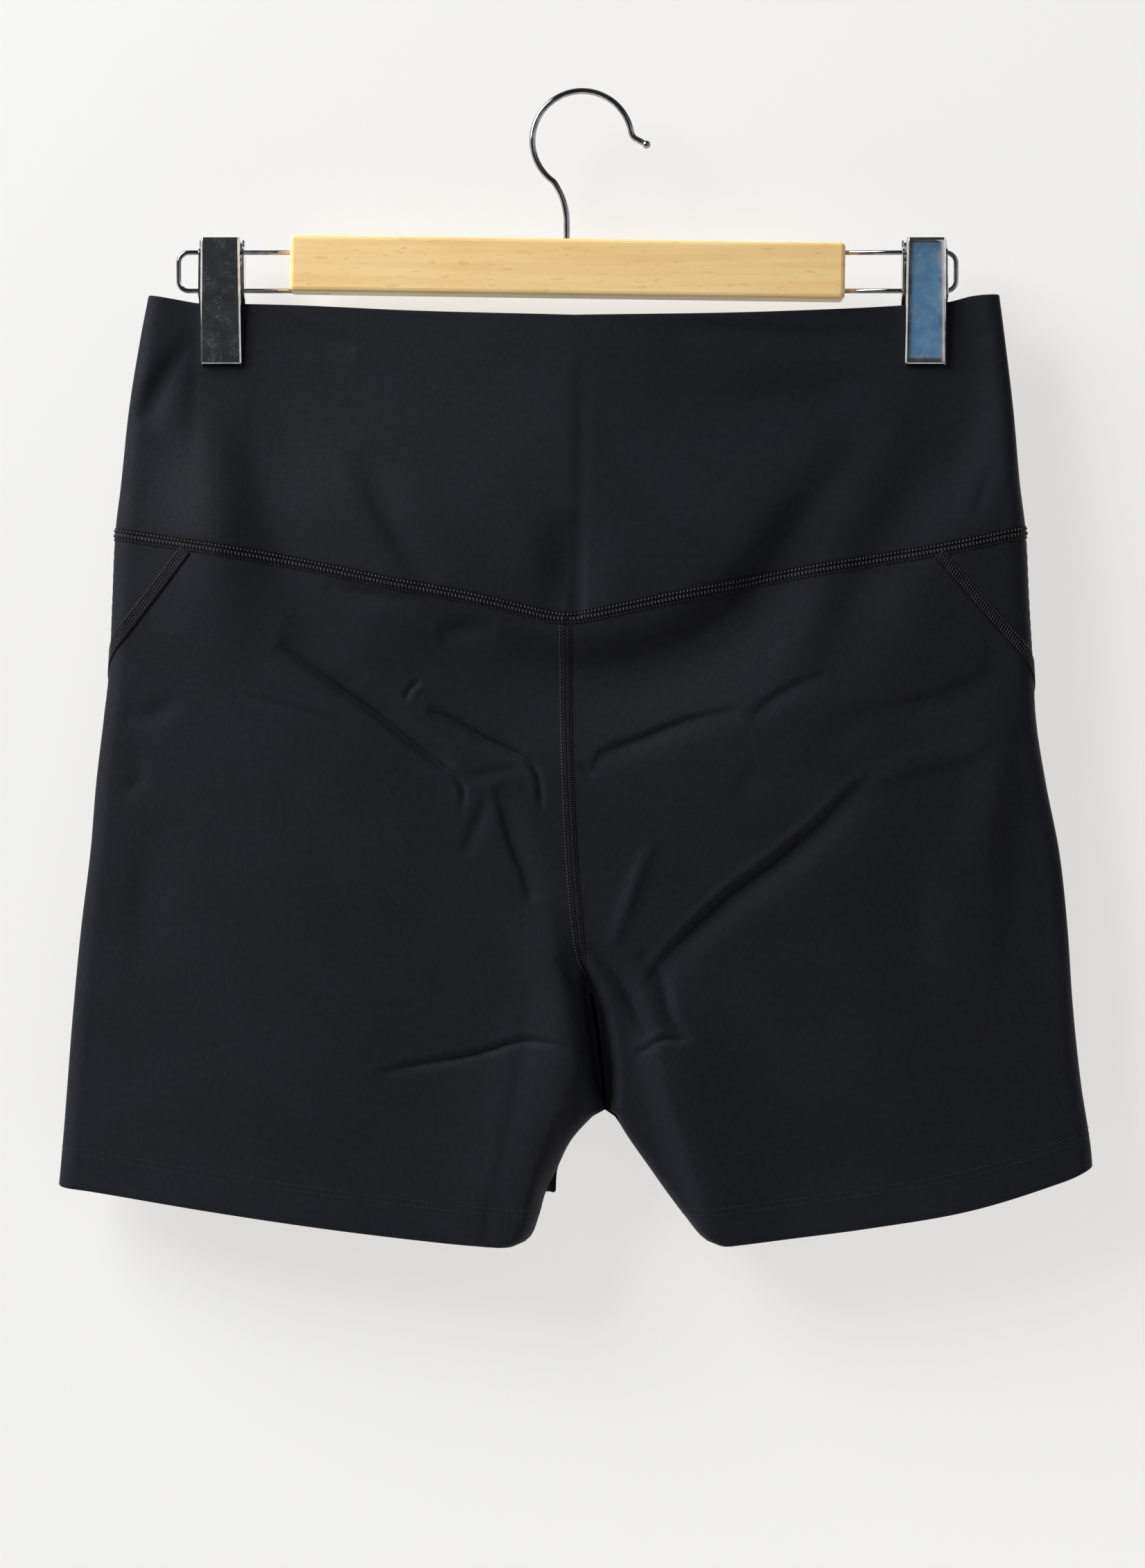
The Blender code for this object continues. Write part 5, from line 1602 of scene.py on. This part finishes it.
# light from behind passes the wall, so that the back of the shorts can be seen too
wall.visible_shadow = False
stage_sheet("floor", [(-3, -0.5, FLOOR_Z), (3, -0.5, FLOOR_Z), (3, 3, FLOOR_Z), (-3, 3, FLOOR_Z)], pale)


def card(name, corners, colour):
    """A card beside the camera, which only polished metal sees."""
    obj = stage_sheet(name, corners, stage_material(name, (0.0, 0.0, 0.0), colour, colour))
    obj.visible_camera = obj.visible_shadow = obj.visible_diffuse = False


card("blue card", [
    (0.239, -1.2, -0.018), (0.336, -1.2, -0.018), (0.336, -1.2, -0.143), (0.239, -1.2, -0.143),
], (0.11, 0.25, 0.415))
for side, x in (("left", -1.3), ("right", 1.3)):
    corners = [(x, -0.7, -0.9), (x, 0.0, -0.9), (x, 0.0, 0.6), (x, -0.7, 0.6)]
    card(f"white card {side}", corners if x < 0 else corners[::-1], (0.85, 0.85, 0.86))


def area_light(name, place, target, size, power, colour=(1, 1, 1)):
    data = bpy.data.lights.new(name, "AREA")
    data.shape = "RECTANGLE"
    data.size, data.size_y = size
    data.energy = power
    data.color = colour
    obj = bpy.data.objects.new(name, data)
    obj.location = place
    obj.rotation_euler = (Vector(target) - Vector(place)).to_track_quat("-Z", "Y").to_euler()
    bpy.context.scene.collection.objects.link(obj)
    return obj


area_light("key", (-1.5, -0.85, 1.05), (0, 0, -0.3), (1.3, 1.3), 86)
area_light("fill", (1.2, -2.2, 0.2), (0, 0, -0.3), (1.5, 1.5), 4)
area_light("behind", (1.4, 1.5, 1.0), (0, 0, -0.3), (1.3, 1.3), 42)
world = bpy.data.worlds.new("room")
world.use_nodes = True
room = world.node_tree
dim = room.nodes["Background"]
dim.inputs["Color"].default_value = (0.92, 0.95, 1.0, 1)
dim.inputs["Strength"].default_value = 0.05
# the room gives dim light, but a camera that looks past the wall sees it as pale as the wall
seen = add_node(room, "ShaderNodeBackground", {"Color": (0.80, 0.80, 0.79, 1.0), "Strength": 1.0})
path = add_node(room, "ShaderNodeLightPath").outputs["Is Camera Ray"]
either = add_node(room, "ShaderNodeMixShader", {0: path, 1: dim.outputs[0], 2: seen.outputs[0]})
room.links.new(either.outputs[0], room.nodes["World Output"].inputs["Surface"])
bpy.context.scene.world = world
bpy.context.scene.view_settings.view_transform = "Standard"

# %% [markdown]
# ## Camera
#
# The picture is taken straight on from 1.5 m with a long lens, level with the middle of the shorts,
# so upright lines stay upright and the sides hardly turn towards the viewer.

# %% Camera
LENS_MM = 74.57
CAMERA_PLACE = (-0.0045, -1.5, -0.3186)
camera_data = bpy.data.cameras.new("camera")
camera_data.lens = LENS_MM
camera = bpy.data.objects.new("camera", camera_data)
camera.location = CAMERA_PLACE
camera.rotation_euler = (pi / 2, 0.0, 0.0)
bpy.context.scene.collection.objects.link(camera)
bpy.context.scene.camera = camera
print("camera at", tuple(round(v, 3) for v in camera.location))
